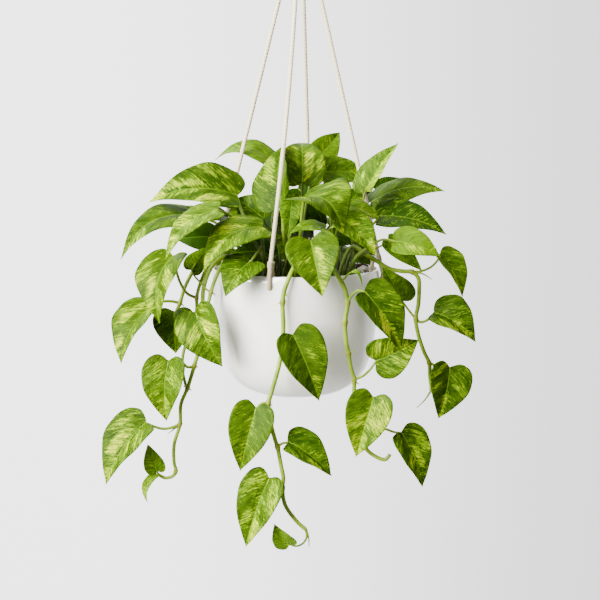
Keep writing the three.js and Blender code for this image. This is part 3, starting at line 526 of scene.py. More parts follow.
def make_gather():
    bottom = WHIPPING_TOP - WHIPPING_HEIGHT
    turns = int((WHIPPING_HEIGHT - 3) / THREAD_HEIGHT)
    outline = [(0.4, bottom), (WHIPPING_RADIUS - 1.6, bottom), (WHIPPING_RADIUS - 0.6, bottom + 0.6)]
    for i in range(turns):
        low = bottom + 1.5 + i * THREAD_HEIGHT
        outline += [(WHIPPING_RADIUS - 0.45, low), (WHIPPING_RADIUS - 0.05, low + THREAD_HEIGHT * 0.3),
                    (WHIPPING_RADIUS - 0.05, low + THREAD_HEIGHT * 0.7)]
    outline += [(WHIPPING_RADIUS - 0.6, WHIPPING_TOP - 0.8), (WHIPPING_RADIUS - 1.6, WHIPPING_TOP),
                (0.4, WHIPPING_TOP)]
    binding = turned("whipping", outline, 40, Vector((0, 0, 0)))
    wire_z = -(2 * RING_RADIUS - RING_WIRE)
    reach = RING_WIRE + CORD_DIAMETER / 2 + 0.9
    loops = []
    for hand in (-1, 1):
        x = hand * (CORD_DIAMETER / 2 + 0.3)
        over = [Vector((x, -reach * math.cos(math.pi * i / 6), wire_z + reach * math.sin(math.pi * i / 6)))
                for i in range(7)]
        ends = [Vector((x, side * reach, WHIPPING_TOP - 3)) for side in (-1, 1)]
        path = smooth_path([ends[0], *over, ends[1]], CORD_STEP)
        loops.append(twisted("ring_loop", path, CORD_DIAMETER / 2, CORD_SIDES, CORD_STRANDS, STRAND_PITCH,
                             STRAND_DEPTH))
    write_attribute(binding.data, "along", mesh_places(binding.data)[:, 2] / MM)
    write_attribute(binding.data, "turn", np.zeros(len(binding.data.vertices)))
    piece = joined([binding, *loops], "whipping_and_loops")
    finished(piece, "cord", "cotton")
    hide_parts("cord_gather")


# Round bodies are drawn out ring by ring from a circle.
def turned(name, outline, sides, middle):
    deselect()
    radius, height = outline[0]
    bpy.ops.mesh.primitive_circle_add(vertices=sides, radius=radius * MM,
                                      location=mm(middle + Vector((0, 0, height))))
    piece = settled(bpy.context.object, name)
    bpy.ops.object.mode_set(mode="EDIT")
    bpy.ops.mesh.select_all(action="SELECT")
    for next_radius, next_height in outline[1:]:
        step = (0, 0, (next_height - height) * MM)
        bpy.ops.mesh.extrude_region_move(TRANSFORM_OT_translate={"value": step})
        wider = next_radius / radius
        bpy.ops.transform.resize(value=(wider, wider, 1), center_override=mm(middle))
        radius, height = next_radius, next_height
    bpy.ops.mesh.select_all(action="SELECT")
    bpy.ops.mesh.fill_holes(sides=0)
    bpy.ops.mesh.normals_make_consistent(inside=False)
    bpy.ops.object.mode_set(mode="OBJECT")
    bpy.ops.object.shade_smooth_by_angle(angle=math.radians(50))
    return piece


def smooth_outline(outline, step):
    path = smooth_path([Vector((radius, height, 0)) for radius, height in outline], step)
    return [(max(0.6, place.x), place.y) for place in path]


POT_MIDDLE = Vector((POT_X, 0, RIM_Z))


def make_pot():
    outline = [*smooth_outline(BOWL_OUTSIDE, 6), *smooth_outline(BOWL_INSIDE, 9)]
    pot = turned("glazed_bowl", outline, 96, POT_MIDDLE)
    for degrees in CORD_HOLES.values():
        ends = [pot_point(radius, degrees, -HOLE_BELOW_LIP) for radius in (86, 110)]
        deselect()
        bpy.ops.mesh.primitive_cylinder_add(vertices=24, radius=HOLE_RADIUS * MM, depth=24 * MM,
                                            location=mm((ends[0] + ends[1]) / 2),
                                            rotation=(math.pi / 2, 0, math.radians(degrees)))
        drill = bpy.context.object
        pick(pot)
        cut = pot.modifiers.new("cord_hole", "BOOLEAN")
        cut.operation = "DIFFERENCE"
        cut.solver = "EXACT"
        cut.object = drill
        bpy.ops.object.modifier_apply(modifier=cut.name)
        bpy.data.objects.remove(drill)
    pick(pot)
    bpy.ops.object.shade_smooth_by_angle(angle=math.radians(40))
    finished(pot, "glaze", "white_glaze")
    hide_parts("pot")


# Soil: an uneven top with crumbs of bark, peat and white grit
SOIL_RADIUS = 94
CRUMBS = 820
CRUMB_SIZES = (0.9, 3.2)
BARK_HEAP = 15


def soil_height(x, y):
    humps = math.sin(x * 0.11 + 1.3) * math.cos(y * 0.09) + 0.5 * math.sin(x * 0.31 + y * 0.27)
    return SOIL_TOP - 0.6 + 0.9 * humps


def make_soil():
    draw = random.Random(SEED)
    outline = [(0.6, -142), (49, -139.4), (71.4, -124.4), (84, -96.6), (91.4, -55),
               (SOIL_RADIUS - 0.5, SOIL_TOP - 3)]
    outline += [(radius, SOIL_TOP) for radius in (93.6, 88, 80, 72, 64, 56, 48, 40, 32, 24, 16, 8, 0.6)]
    body = turned("soil_body", outline, 72, POT_MIDDLE)
    for corner in body.data.vertices:
        x, y, z = corner.co / MM
        if z > RIM_Z + SOIL_TOP - 1:
            corner.co.z = (RIM_Z + soil_height(x - POT_X, y) + draw.uniform(-0.35, 0.35)) * MM
    deselect()
    bpy.ops.mesh.primitive_ico_sphere_add(subdivisions=1, radius=MM)
    crumb = bpy.context.object
    shape = mesh_places(crumb.data)
    crumbs = []
    kinds = []
    for _ in range(CRUMBS):
        radius = (SOIL_RADIUS - 4) * math.sqrt(draw.random())
        turn = draw.uniform(0, 2 * math.pi)
        x, y = radius * math.cos(turn), radius * math.sin(turn)
        size = draw.uniform(*CRUMB_SIZES)
        heap = BARK_HEAP * smoothstep(58, 80, radius) * smoothstep(-35, -5, y) * draw.uniform(0.35, 1)
        size += 0.35 * heap
        copy = put("crumb", crumb.data.copy())
        stretch = np.array([draw.uniform(0.6, 1.5), draw.uniform(0.6, 1.5), draw.uniform(0.4, 0.9)]) * size
        uneven = 1 + 0.25 * np.array([[draw.uniform(-1, 1)] for _ in shape])
        place = np.array([POT_X + x, y, RIM_Z + soil_height(x, y) + 0.2 * size + heap]) * MM
        copy.data.vertices.foreach_set("co", (shape * stretch * uneven + place).ravel())
        kind = draw.random()
        write_attribute(copy.data, "grit", np.full(len(shape), kind))
        crumbs.append(copy)
    write_attribute(body.data, "grit", np.full(len(body.data.vertices), 0.3))
    bpy.data.objects.remove(crumb)
    piece = joined([body, *crumbs], "potting_soil_and_crumbs")
    finished(piece, "soil", "potting_soil")
    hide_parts("soil")


def make_ring():
    deselect()
    bpy.ops.mesh.primitive_torus_add(major_segments=96, minor_segments=24, major_radius=RING_RADIUS * MM,
                                     minor_radius=RING_WIRE * MM, rotation=(math.pi / 2, 0, 0),
                                     location=(0, 0, (RING_WIRE - RING_RADIUS) * MM))
    piece = settled(bpy.context.object, "hanging_ring")
    bpy.ops.object.shade_smooth()
    finished(piece, "steel", "ring_steel")
    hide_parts("ring")


# Leaves
def blade_edge(share):
    """Places on the edge outline, for an array of shares of the way round."""
    outline = np.array(BLADE_EDGE, float)
    last = len(outline) - 1
    place = share * last
    i = np.minimum(place.astype(int), last - 1)
    t = (place - i)[:, None]
    before, start = outline[np.maximum(i - 1, 0)], outline[i]
    end, after = outline[i + 1], outline[np.minimum(i + 2, last)]
    leave, arrive = (end - before) / 2, (after - start) / 2
    return ((2 * start - 2 * end + leave + arrive) * t ** 3
            + (3 * end - 3 * start - 2 * leave - arrive) * t ** 2 + leave * t + start)


def blade_frame(leaf):
    foot, tip, (right, up, near) = leaf[3:6]
    start = seen(foot)
    along = seen(tip) - start
    length = along.length
    along.normalize()
    face = Vector((right, -near, up))
    face = (face - along * face.dot(along)).normalized()
    return start, length, along, face, along.cross(face)


def blade_places(leaf, hand, round_share, out, phase):
    """Places on a blade's middle surface, and how far across and along it they are."""
    start, length, along, face, side = blade_frame(leaf)
    width, arch, fold = leaf[6:9]
    edge = blade_edge(round_share)
    tuck = np.clip(LOBE_TUCK * (-hand * side.y - LOBE_TUCK_FROM), 0, 1)
    edge_share = np.where(edge[:, 1] < 0, edge[:, 1] * (1 - tuck), edge[:, 1])
    rib = np.maximum(0, (round_share - RIB_START) / (1 - RIB_START))
    outward = width / 2 * edge[:, 0] * out
    share = rib + (edge_share - rib) * out
    arch_here = np.where(share > 0, 4 * share * (1 - share), 2 * share)
    folded = np.hypot(outward, RIB_ROUNDING) - RIB_ROUNDING
    ripple = np.sin(2 * math.pi * (2.3 * share + phase + 0.2 * hand))
    waves = EDGE_WAVE * width / 60 * edge[:, 0] * out ** 3 * ripple
    lift = arch * arch_here + fold * folded - EDGE_DROOP * outward ** 2 * 2 / width + waves
    places = (np.array(start) + np.outer(share * length, along) + np.outer(hand * outward, side)
              + np.outer(lift + BLADE_LIFT, face))
    return places, hand * outward, share


# The side veins leave the rib slantwise and bend towards the tip.
VEIN_SLANT = 0.62
VEIN_BEND = 0.008


def blade(leaf, template, number):
    draw = random.Random(SEED * 1000 + number)
    mesh = template.data.copy()
    grid = mesh_places(mesh)
    across, round_share = np.clip(grid[:, 0], -1, 1), np.clip((grid[:, 1] + 1) / 2, 0, 1)
    hand = np.where(across < 0, -1.0, 1.0)
    places, outward, share = blade_places(leaf, hand, round_share, np.abs(across), draw.random())
    mesh.vertices.foreach_set("co", (places * MM).ravel())
    length = blade_frame(leaf)[1]
    reach = np.abs(outward)
    vein = share - (VEIN_SLANT * reach + VEIN_BEND * reach ** 2) / length
    half = leaf[6] / 2
    write_attribute(mesh, "across", outward / half)
    write_attribute(mesh, "vein", vein)
    write_attribute(mesh, "seed", np.full(len(share), number * 1.37))
    cream, tone = markings(leaf[0], outward / half, vein, draw)
    write_attribute(mesh, "cream", cream)
    write_attribute(mesh, "tone", np.full(len(share), tone))
    write_attribute(mesh, "shade", np.full(len(share), leaf_shade(leaf[6])))
    piece = put(leaf[0], mesh)
    pick(piece)
    bpy.ops.object.mode_set(mode="EDIT")
    bpy.ops.mesh.select_all(action="SELECT")
    bpy.ops.mesh.remove_doubles(threshold=0.00002)
    bpy.ops.object.mode_set(mode="OBJECT")
    bpy.ops.object.shade_smooth()
    wall = piece.modifiers.new("thickness", "SOLIDIFY")
    wall.thickness = BLADE_THICKNESS * MM
    wall.offset = -1
    wall.material_offset = 1
    wall.material_offset_rim = 1
    bpy.ops.object.modifier_apply(modifier=wall.name)
    return piece


# Cream markings, leaf by leaf: bands as (across from, across to, vein from, vein to, strength), where across
# runs from -1 on the left edge to 1 on the right with the tip up, and the leaf's own greenness from 0 to 1
MARKINGS = {
    "front_1": (0.4, [(-0.5, -0.2, 0.18, 0.33, 0.6), (-0.3, 0, 0.6, 0.9, 0.4),
                      (-0.95, -0.7, 0, 0.3, 0.35)]),
    "front_2": (0.5, [(-0.15, 0.15, 0.1, 0.6, 0.3), (-0.6, -0.2, 0.5, 0.8, 0.4),
                      (0, 0.25, 0.6, 0.9, 0.45)]),
    "front_3": (0.3, [(0.2, 0.75, 0.35, 0.7, 0.6), (0.8, 1, -0.2, 0, 0.3)]),
    "front_4": (0.45, [(-0.9, -0.2, -0.1, 0.3, 0.5), (-0.6, 0, 0.5, 0.95, 0.65),
                       (0.1, 0.9, -0.15, 0.15, 0.5),
                       (0.1, 0.5, 0.4, 0.75, 0.55), (-0.2, 0.1, 0.2, 0.5, 0.3)]),
    "front_5": (0.6, [(0.1, 0.5, 0.5, 0.8, 0.3)]),
    "mid_right_1": (0.35, [(-0.05, 0.55, 0.3, 0.65, 0.85), (-0.15, 0.15, 0.6, 1, 0.55),
                           (-0.5, -0.3, 0, 0.15, 0.3)]),
    "mid_right_2": (0.85, [(-1, 1, 0, 0.4, 0.3)]),
    "mid_right_3": (0.45, [(-0.9, -0.1, -0.2, 0.1, 0.5), (-0.7, 0, 0.15, 0.4, 0.5),
                           (-0.6, 0.1, 0.5, 0.85, 0.5),
                           (0.1, 0.9, -0.1, 0.1, 0.4), (0.1, 0.8, 0.2, 0.4, 0.45),
                           (0.1, 0.5, 0.5, 0.8, 0.45)]),
    "mid_right_4": (0.5, [(-1, -0.3, -0.2, 0.4, 0.65), (-0.4, 0.1, 0, 0.5, 0.6),
                          (0.05, 0.9, 0.2, 0.45, 0.65),
                          (-0.3, 0.4, 0.55, 0.95, 0.7), (-0.9, -0.5, 0.4, 0.6, 0.6)]),
    "mid_right_5": (0.35, [(-0.4, -0.1, 0.2, 0.6, 0.65), (-0.9, -0.4, -0.1, 0.3, 0.4),
                           (-0.1, 0.5, 0.35, 0.55, 0.55), (0.3, 0.9, -0.15, 0.05, 0.45),
                           (0.1, 0.4, 0.6, 0.9, 0.3)]),
    "right_1": (0.3, [(-0.1, 0.3, 0.4, 0.85, 0.65), (0.4, 0.9, 0, 0.5, 0.4)]),
    "right_2": (0.45, []),
    "right_3": (0.35, [(0.1, 0.9, -0.2, -0.03, 0.55), (-0.12, 0.12, 0.5, 1, 0.7),
                       (-0.8, -0.4, 0.1, 0.3, 0.3),
                       (0.3, 0.7, 0.1, 0.3, 0.3)]),
    "right_4": (0.4, [(0, 0.5, 0.35, 0.9, 0.5), (-0.4, -0.2, 0.3, 0.6, 0.35)]),
    "left_a_1": (0.45, [(-0.8, 0.9, -0.15, 0.08, 0.5), (0.3, 0.7, 0.05, 0.35, 0.7),
                        (-0.6, -0.1, 0.3, 0.5, 0.4),
                        (0.1, 0.4, 0.5, 0.95, 0.6), (-0.4, 0, 0.65, 0.95, 0.5)]),
    "left_a_2": (0.35, [(-0.6, -0.1, 0.25, 0.7, 0.5), (0.5, 0.9, -0.1, 0, 0.3)]),
    "left_b_1": (0.45, [(-0.9, -0.2, 0.1, 0.4, 0.7), (-0.5, 0, 0.5, 0.85, 0.55), (0.1, 0.4, 0.3, 0.85, 0.7),
                        (0.4, 0.9, -0.1, 0.3, 0.5), (-0.1, 0.1, -0.1, 0.1, 0.2)]),
    "left_c_1": (0.4, [(-0.8, -0.1, 0.1, 0.4, 0.8), (0.1, 0.7, 0.1, 0.35, 0.65),
                       (-0.7, -0.2, -0.2, 0, 0.45),
                       (-0.3, 0.2, 0.45, 0.6, 0.45), (0.5, 1, -0.2, 0.05, 0.45)]),
    "left_c_2": (0.6, [(-0.6, -0.3, 0.3, 0.6, 0.25)]),
    "left_d_1": (0.55, [(-0.9, -0.1, 0, 0.3, 0.45), (0.1, 0.8, -0.1, 0.2, 0.4),
                        (-0.3, 0.3, 0.55, 0.95, 0.5),
                        (0.2, 0.6, 0.3, 0.5, 0.45)]),
    "left_d_2": (0.45, [(-0.8, -0.1, 0.05, 0.2, 0.45), (-0.5, 0, 0.3, 0.55, 0.5),
                        (0.1, 0.5, 0.1, 0.55, 0.85),
                        (0.5, 0.9, -0.1, 0.1, 0.65), (-0.2, 0.2, 0.6, 0.95, 0.55),
                        (-1, -0.7, -0.1, 0.1, 0.45)]),
    "left_d_3": (0.8, [(-0.6, 0.6, 0.1, 0.6, 0.15)]),
    "left_d_4": (0.9, [(-1, 1, -0.3, 1, 0.35)]),
    "high_1": (0.3, [(-1, -0.3, 0, 0.28, 0.75), (-0.3, 0, 0.4, 0.9, 0.55), (0.1, 0.4, 0.3, 0.85, 0.65),
                     (0.5, 1, -0.1, 0.2, 0.5), (0.1, 0.3, -0.1, 0.1, 0.35), (-0.2, 0.2, 0.78, 1, 0.85)]),
    "high_2": (0.4, [(0.2, 0.5, 0, 0.6, 0.35)]),
    "back_1": (0.62, []),
    "back_2": (0.25, [(-0.8, -0.3, -0.2, 0.2, 0.3)]),
    "side_1": (0.3, [(-0.7, -0.1, 0.5, 0.9, 0.65), (-0.8, -0.3, 0, 0.2, 0.35), (0.2, 0.5, 0.1, 0.3, 0.3)]),
    "near_1": (0.45, [(-0.8, -0.1, -0.1, 0.1, 0.45), (0.1, 0.6, 0.1, 0.5, 0.6),
                      (-0.2, 0.2, 0.5, 0.95, 0.65),
                      (-0.7, -0.2, 0.25, 0.5, 0.45), (0.6, 1, -0.2, 0.1, 0.4)]),
    "near_2": (0.5, [(-0.9, -0.2, 0, 0.2, 0.5), (-0.6, 0, 0.3, 0.5, 0.45), (0, 0.8, 0.2, 0.5, 0.5),
                     (-0.3, 0.3, 0.6, 1, 0.65), (0.4, 0.9, -0.1, 0.1, 0.35)]),
    "near_3": (0.3, [(-0.4, -0.1, 0.4, 0.7, 0.4), (0.1, 0.3, 0.3, 0.75, 0.35)]),
    "mid_1": (0.35, [(-0.6, -0.15, 0.2, 0.7, 0.6), (-0.9, -0.6, 0, 0.4, 0.35), (0.1, 0.6, 0.2, 0.6, 0.4)]),
    "mid_2": (0.4, []),
    "mid_3": (0.4, [(0.1, 0.5, 0, 0.5, 0.7), (-0.4, -0.15, 0.2, 0.6, 0.6), (0.6, 0.9, -0.1, 0.15, 0.5)]),
    "mid_4": (0.55, [(-0.5, 0, -0.1, 0.6, 0.22)]),
    "mid_5": (0.4, [(-0.4, -0.15, 0.35, 0.5, 0.6), (0.1, 0.4, 0.45, 0.6, 0.3), (-0.9, -0.5, -0.2, 0.2, 0.4),
                    (-0.1, 0.1, 0.85, 1, 0.7), (0.3, 0.8, -0.3, 0.1, 0.35)]),
    "mid_6": (0.4, [(-0.4, 0, 0, 0.25, 0.7), (0, 0.5, 0.4, 0.6, 0.5), (-0.3, 0.2, 0.65, 0.98, 0.55),
                    (-0.9, -0.5, -0.1, 0.1, 0.4)]),
    "lip_1": (0.5, [(-0.36, -0.04, 0.08, 0.6, 0.85), (-0.7, -0.5, 0.3, 0.5, 0.3),
                    (-0.3, 0.05, 0.7, 1, 0.65),
                    (0.5, 0.7, 0.1, 0.25, 0.45), (0.15, 0.35, 0.2, 0.35, 0.4)]),
    "lip_2": (0.45, []),
    "far_1": (0.4, [(-0.6, 0.6, 0.55, 0.7, 0.4), (-0.7, -0.3, -0.15, 0, 0.3)]),
    "far_2": (0.5, [(-0.7, -0.4, -0.05, 0.15, 0.5), (0, 1, -0.2, 1, 0.5)]),
    "far_3": (0.25, [(-0.8, -0.2, 0, 0.2, 0.3)]),
    "right_high_1": (0.45, [(-0.1, 0.2, 0.6, 0.9, 0.25)]),
    "right_high_2": (0.05, [(0.1, 0.4, 0.4, 0.6, 0.12)]),
    "right_high_3": (0.5, [(-0.2, 0.3, 0.3, 0.8, 0.35)]),
    "right_low_1": (0.75, [(0, 0.6, 0.15, 0.6, 0.6)]),
    "right_low_2": (0.45, [(-0.5, 0.2, 0, 0.4, 0.2)]),
}


# Young leaves are small and lighter: a leaf's shade goes by its width
YOUNG_WIDTH, YOUNG_SHADE = 25, 1.0
GROWN_WIDTH, GROWN_SHADE = 60, 0.62


def leaf_shade(width):
    grown = float(smoothstep(YOUNG_WIDTH, GROWN_WIDTH, width))
    return YOUNG_SHADE + (GROWN_SHADE - YOUNG_SHADE) * grown


def markings(name, across, vein, draw):
    tone, bands = MARKINGS.get(name, (None, None))
    # Inner leaves, deep in the crown, get dark greens and no cream marks: painted shade.
    if name.startswith("inner"):
        return np.full(len(across), -0.3), draw.uniform(-0.1, 0.3)
    if bands is None:
        tone = draw.uniform(0.2, 0.8)
        bands = []
        for _ in range(4):
            hand = draw.choice((-1, 1))
            inner = draw.uniform(0, 0.5)
            low = draw.uniform(-0.3, 0.6)
            band = sorted((hand * inner, hand * (inner + draw.uniform(0.2, 0.5))))
            bands.append((*band, low, low + draw.uniform(0.06, 0.2), draw.uniform(0.3, 0.75)))
    cream = np.zeros(len(across))
    for left, right, low, high, strength in bands:
        here = smoothstep(left - 0.1, left + 0.1, across) - smoothstep(right - 0.1, right + 0.1, across)
        there = smoothstep(low - 0.05, low + 0.05, vein) - smoothstep(high - 0.05, high + 0.05, vein)
        cream = np.maximum(cream, strength * here * there)
    return cream, tone


def tubes(name, runs, knots):
    """Round stems in one mesh: each run is its path and its radii."""
    line = bpy.data.curves.new(name, "CURVE")
    line.dimensions = "3D"
    line.bevel_depth = MM
    line.bevel_resolution = 4
    line.use_fill_caps = True
    for path, radii in runs:
        spline = line.splines.new("POLY")
        spline.points.add(len(path) - 1)
        for point, place, radius in zip(spline.points, path, radii):
            point.co = (*mm(place), 1)
            point.radius = radius
    piece = put(name, line)
    pick(piece)
    bpy.ops.object.convert(target="MESH")
    piece = bpy.context.object
    bpy.ops.object.shade_smooth()
    places = mesh_places(piece.data)
    near = np.full(len(places), 1e3)
    for knot in knots:
        near = np.minimum(near, np.linalg.norm(places - np.array(mm(knot)), axis=1) / MM)
    write_attribute(piece.data, "knot", 1 - smoothstep(1.5, 6.5, near))
    return piece


# Young stalks round the foot of each crown stem
SHOOTS = 6
SHOOT_SPREAD = 15
SHOOT_LEAN = 12
SHOOT_HEIGHTS = (24, 46)


def stem_run(name):
    row = STEMS[name]
    x, y = row["base"]
    foot = [Vector((POT_X + x, y, RIM_Z + z)) for z in (SOIL_TOP - STEM_BURIED, SOIL_TOP + 3)]
    places = [seen(place) for place in row["stem"]]
    path = smooth_path([*foot, *places], 2.2)
    joints = [places[i] for i in row.get("joints", [])]
    first, last = row["thick"]
    radii = []
    for i, place in enumerate(path):
        radius = first + (last - first) * i / (len(path) - 1)
        swell = sum(math.exp(-((place - joint).length / JOINT_HALF) ** 2) for joint in joints)
        radii.append(radius * (1 + JOINT_SWELL * min(1, swell)))
    return path, radii, joints


def stalk_run(leaf, joint):
    start, _, _, face, _ = blade_frame(leaf)
    radius = STALK_RADIUS + leaf[6] / STALK_WIDENS
    here = np.array([RIB_START + 0.12])
    rib_place = Vector(blade_places(leaf, 1.0, here, np.zeros(1), 0)[0][0]) - face * BLADE_LIFT
    along_rib = (rib_place - start).normalized()
    foot = start - face * (0.1 + radius * 0.35)
    path = smooth_path([joint, *(seen(place) for place in leaf[9]), foot], 2.5)
    path.append(foot + along_rib * STALK_UNDER_RIB)
    path.append(foot + along_rib * (STALK_UNDER_RIB * 1.8) - face * 0.3)
    count = len(path) - 1
    radii = [radius * (1 - STALK_THINS * i / count) for i in range(count + 1)]
    radii[-1] = radius * 0.25
    radii[0] *= 1.25
    return path, radii


def undergrowth(name):
    """Short young stalks round the foot of a stem."""
    draw = random.Random(name)
    base = STEMS[name]["base"]
    runs = []
    for _ in range(SHOOTS):
        x, y = (value + draw.uniform(-SHOOT_SPREAD, SHOOT_SPREAD) for value in base)
        lean = Vector((draw.uniform(-SHOOT_LEAN, SHOOT_LEAN), draw.uniform(-SHOOT_LEAN, SHOOT_LEAN),
                       draw.uniform(*SHOOT_HEIGHTS)))
        foot = Vector((POT_X + x, y, RIM_Z + SOIL_TOP - 4))
        halfway = foot + Vector((lean.x * 0.25, lean.y * 0.25, lean.z * 0.5))
        path = smooth_path([foot, halfway, foot + lean], 3)
        count = len(path) - 1
        runs.append((path, [1.5 - 0.9 * i / count for i in range(count + 1)]))
    return runs


def make_plant(name, template):
    path, radii, joints = stem_run(name)
    runs = [(path, radii)]
    stem_places = [seen(place) for place in STEMS[name]["stem"]]
    for spike in STEMS[name].get("spikes", []):
        route = smooth_path([seen(place) for place in spike], 1.5)
        count = len(route) - 1
        runs.append((route, [1.4 - 0.95 * i / count for i in range(count + 1)]))
    if name.startswith("crown"):
        runs += undergrowth(name)
    leaves = [(number, leaf) for number, leaf in enumerate(LEAVES) if leaf[1] == name]
    blades = []
    for number, leaf in leaves:
        runs.append(stalk_run(leaf, stem_places[leaf[2]]))
        blades.append(blade(leaf, template, number))
    stems = tubes(name + "_stems", runs, joints)
    finished(stems, "leaf", "stem_skin")
    leaf_piece = joined(blades, name + "_leaves")
    finished(leaf_piece, "leaf", "leaf_upper", "leaf_under")
    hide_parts(name)
    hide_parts(name)


def make_plants():
    deselect()
    bpy.ops.mesh.primitive_grid_add(x_subdivisions=BLADE_COLUMNS, y_subdivisions=BLADE_ROWS, size=2)
    template = bpy.context.object
    for name in STEMS:
        make_plant(name, template)
    bpy.data.objects.remove(template)


# Materials
def linear(red, green, blue):
    """A colour from its screen values, 0 to 255."""
    return [(v / 255 / 12.92 if v / 255 <= 0.04045 else ((v / 255 + 0.055) / 1.055) ** 2.4)
            for v in (red, green, blue)] + [1.0]


class Board:
    """A node tree under construction."""

    def __init__(self, tree):
        self.tree = tree

    def add(self, kind, settings=None, **inputs):
        node = self.tree.nodes.new(kind)
        for key, value in (settings or {}).items():
            setattr(node, key, value)
        for key, value in inputs.items():
            numbered = key[0] == "i" and key[1:].isdigit()
            socket = node.inputs[int(key[1:]) if numbered else key.replace("_", " ")]
            if isinstance(value, bpy.types.NodeSocket):
                self.tree.links.new(value, socket)
            else:
                socket.default_value = value
        return node

    def feed(self, shader, **sources):
        for key, source in sources.items():
            self.tree.links.new(source, shader.inputs[key.replace("_", " ")])

    def place(self):
        return self.add("ShaderNodeTexCoord").outputs["Object"]

    def attribute(self, name):
        return self.add("ShaderNodeAttribute", {"attribute_name": name}).outputs["Fac"]

    def maths(self, operation, first, second=0.0, third=0.0):
        return self.add("ShaderNodeMath", {"operation": operation}, i0=first, i1=second, i2=third).outputs[0]

    def vector(self, x=0.0, y=0.0, z=0.0):
        return self.add("ShaderNodeCombineXYZ", X=x, Y=y, Z=z).outputs[0]

    def noise(self, vector, scale, detail=3.0, roughness=0.5):
        node = self.add("ShaderNodeTexNoise", Vector=vector, Scale=scale, Detail=detail, Roughness=roughness)
        return node.outputs["Fac"]

    def scaled(self, colour, share):
        return self.add("ShaderNodeVectorMath", {"operation": "SCALE"}, i0=colour, Scale=share).outputs[0]

    def fade(self, value, low, high, out_low=0.0, out_high=1.0):
        node = self.add("ShaderNodeMapRange", {"interpolation_type": "SMOOTHSTEP"}, Value=value,
                        From_Min=low, From_Max=high, To_Min=out_low, To_Max=out_high)
        return node.outputs["Result"]

    def blend(self, share, first, second):
        node = self.tree.nodes.new("ShaderNodeMix")
        node.data_type = "RGBA"
        for i, value in ((0, share), (6, first), (7, second)):
            if isinstance(value, bpy.types.NodeSocket):
                self.tree.links.new(value, node.inputs[i])
            else:
                node.inputs[i].default_value = value
        return node.outputs[2]


def new_material(name, **settings):
    material = bpy.data.materials.new(name)
    material.use_nodes = True
    shader = material.node_tree.nodes["Principled BSDF"]
    for key, value in settings.items():
        shader.inputs[key.replace("_", " ")].default_value = value
    return Board(material.node_tree), shader


def relief(board, shader, height, distance, strength=1.0):
    bump = board.add("ShaderNodeBump", Height=height, Distance=distance * MM, Strength=strength)
    board.feed(shader, Normal=bump.outputs[0])


def leaf_pattern():
    """Shared by a leaf's upper side and underside: its colour, its relief and its dullness."""
    group = bpy.data.node_groups.new("leaf_pattern", "ShaderNodeTree")
    for name, kind in (("Colour", "NodeSocketColor"), ("Relief", "NodeSocketFloat"),
                       ("Dullness", "NodeSocketFloat")):
        group.interface.new_socket(name, in_out="OUTPUT", socket_type=kind)
    b = Board(group)
    across, vein = b.attribute("across"), b.attribute("vein")
    seed, cream, tone = b.attribute("seed"), b.attribute("cream"), b.attribute("tone")
    reach = b.maths("ABSOLUTE", across)

    def grain(vein_scale, across_scale, third, detail, roughness=0.5):
        place = b.vector(b.maths("MULTIPLY", vein, vein_scale), b.maths("MULTIPLY", across, across_scale),
                         third)
        return b.noise(place, 1.0, detail, roughness)

    def swing(value, strength, base=0.0):
        return b.maths("MULTIPLY_ADD", b.maths("SUBTRACT", value, 0.5), strength, base)

    streaks = grain(34.0, 2.8, seed, 4.0, 0.65)
    patches = grain(6.0, 1.8, b.maths("ADD", seed, 31.0), 2.0)
    flecks = grain(80.0, 8.0, seed, 3.0, 0.7)
    mottle = swing(streaks, 2.3, swing(patches, 0.9, swing(flecks, 2.0)))
    marked = b.maths("ADD", b.maths("MULTIPLY_ADD", cream, 0.82, -0.02), mottle)
    greens = grain(9.0, 2.2, b.maths("ADD", seed, 77.0), 4.0, 0.65)
    deep = swing(greens, 1.6, tone)
    colour = b.blend(b.fade(deep, 0.0, 1.0), linear(34, 62, 2), linear(84, 116, 4))
    for low, high, tint in ((0.2, 0.32, linear(86, 120, 4)), (0.34, 0.44, linear(114, 150, 6))):
        colour = b.blend(b.fade(marked, low, high), colour, tint)
    shade = b.attribute("shade")
    colour = b.scaled(colour, b.maths("MULTIPLY_ADD", shade, 1.1, -0.08))
    light = b.scaled(linear(146, 172, 4)[:3], b.maths("MULTIPLY_ADD", shade, 0.85, 0.1))
    pale = b.scaled(linear(196, 204, 22)[:3], b.maths("MULTIPLY_ADD", shade, 0.5, 0.4))
    for low, high, tint in ((0.5, 0.6, light), (0.7, 0.88, pale), (1.1, 1.35, linear(224, 220, 104))):
        colour = b.blend(b.fade(marked, low, high), colour, tint)
    rib = b.fade(reach, 0.012, 0.04, 1.0, 0.0)
    colour = b.blend(b.maths("MULTIPLY", rib, 0.45), colour, linear(96, 130, 10))
    wave = b.maths("ABSOLUTE", b.maths("SINE", b.maths("MULTIPLY", vein, 7.5 * math.pi)))
    quilt = b.maths("MULTIPLY", b.maths("POWER", wave, 0.7), b.fade(reach, 0.02, 0.3))
    groove = b.fade(reach, 0.0, 0.07)
    height = b.maths("ADD", b.maths("MULTIPLY", quilt, 0.5), b.maths("MULTIPLY", groove, 0.8))
    height = b.maths("MULTIPLY_ADD", grain(30.0, 9.0, seed, 3.0), 0.18, height)
    out = group.nodes.new("NodeGroupOutput")
    b.feed(out, Colour=colour, Relief=height, Dullness=b.fade(streaks, 0.3, 0.7, 0.38, 0.5))
    return group


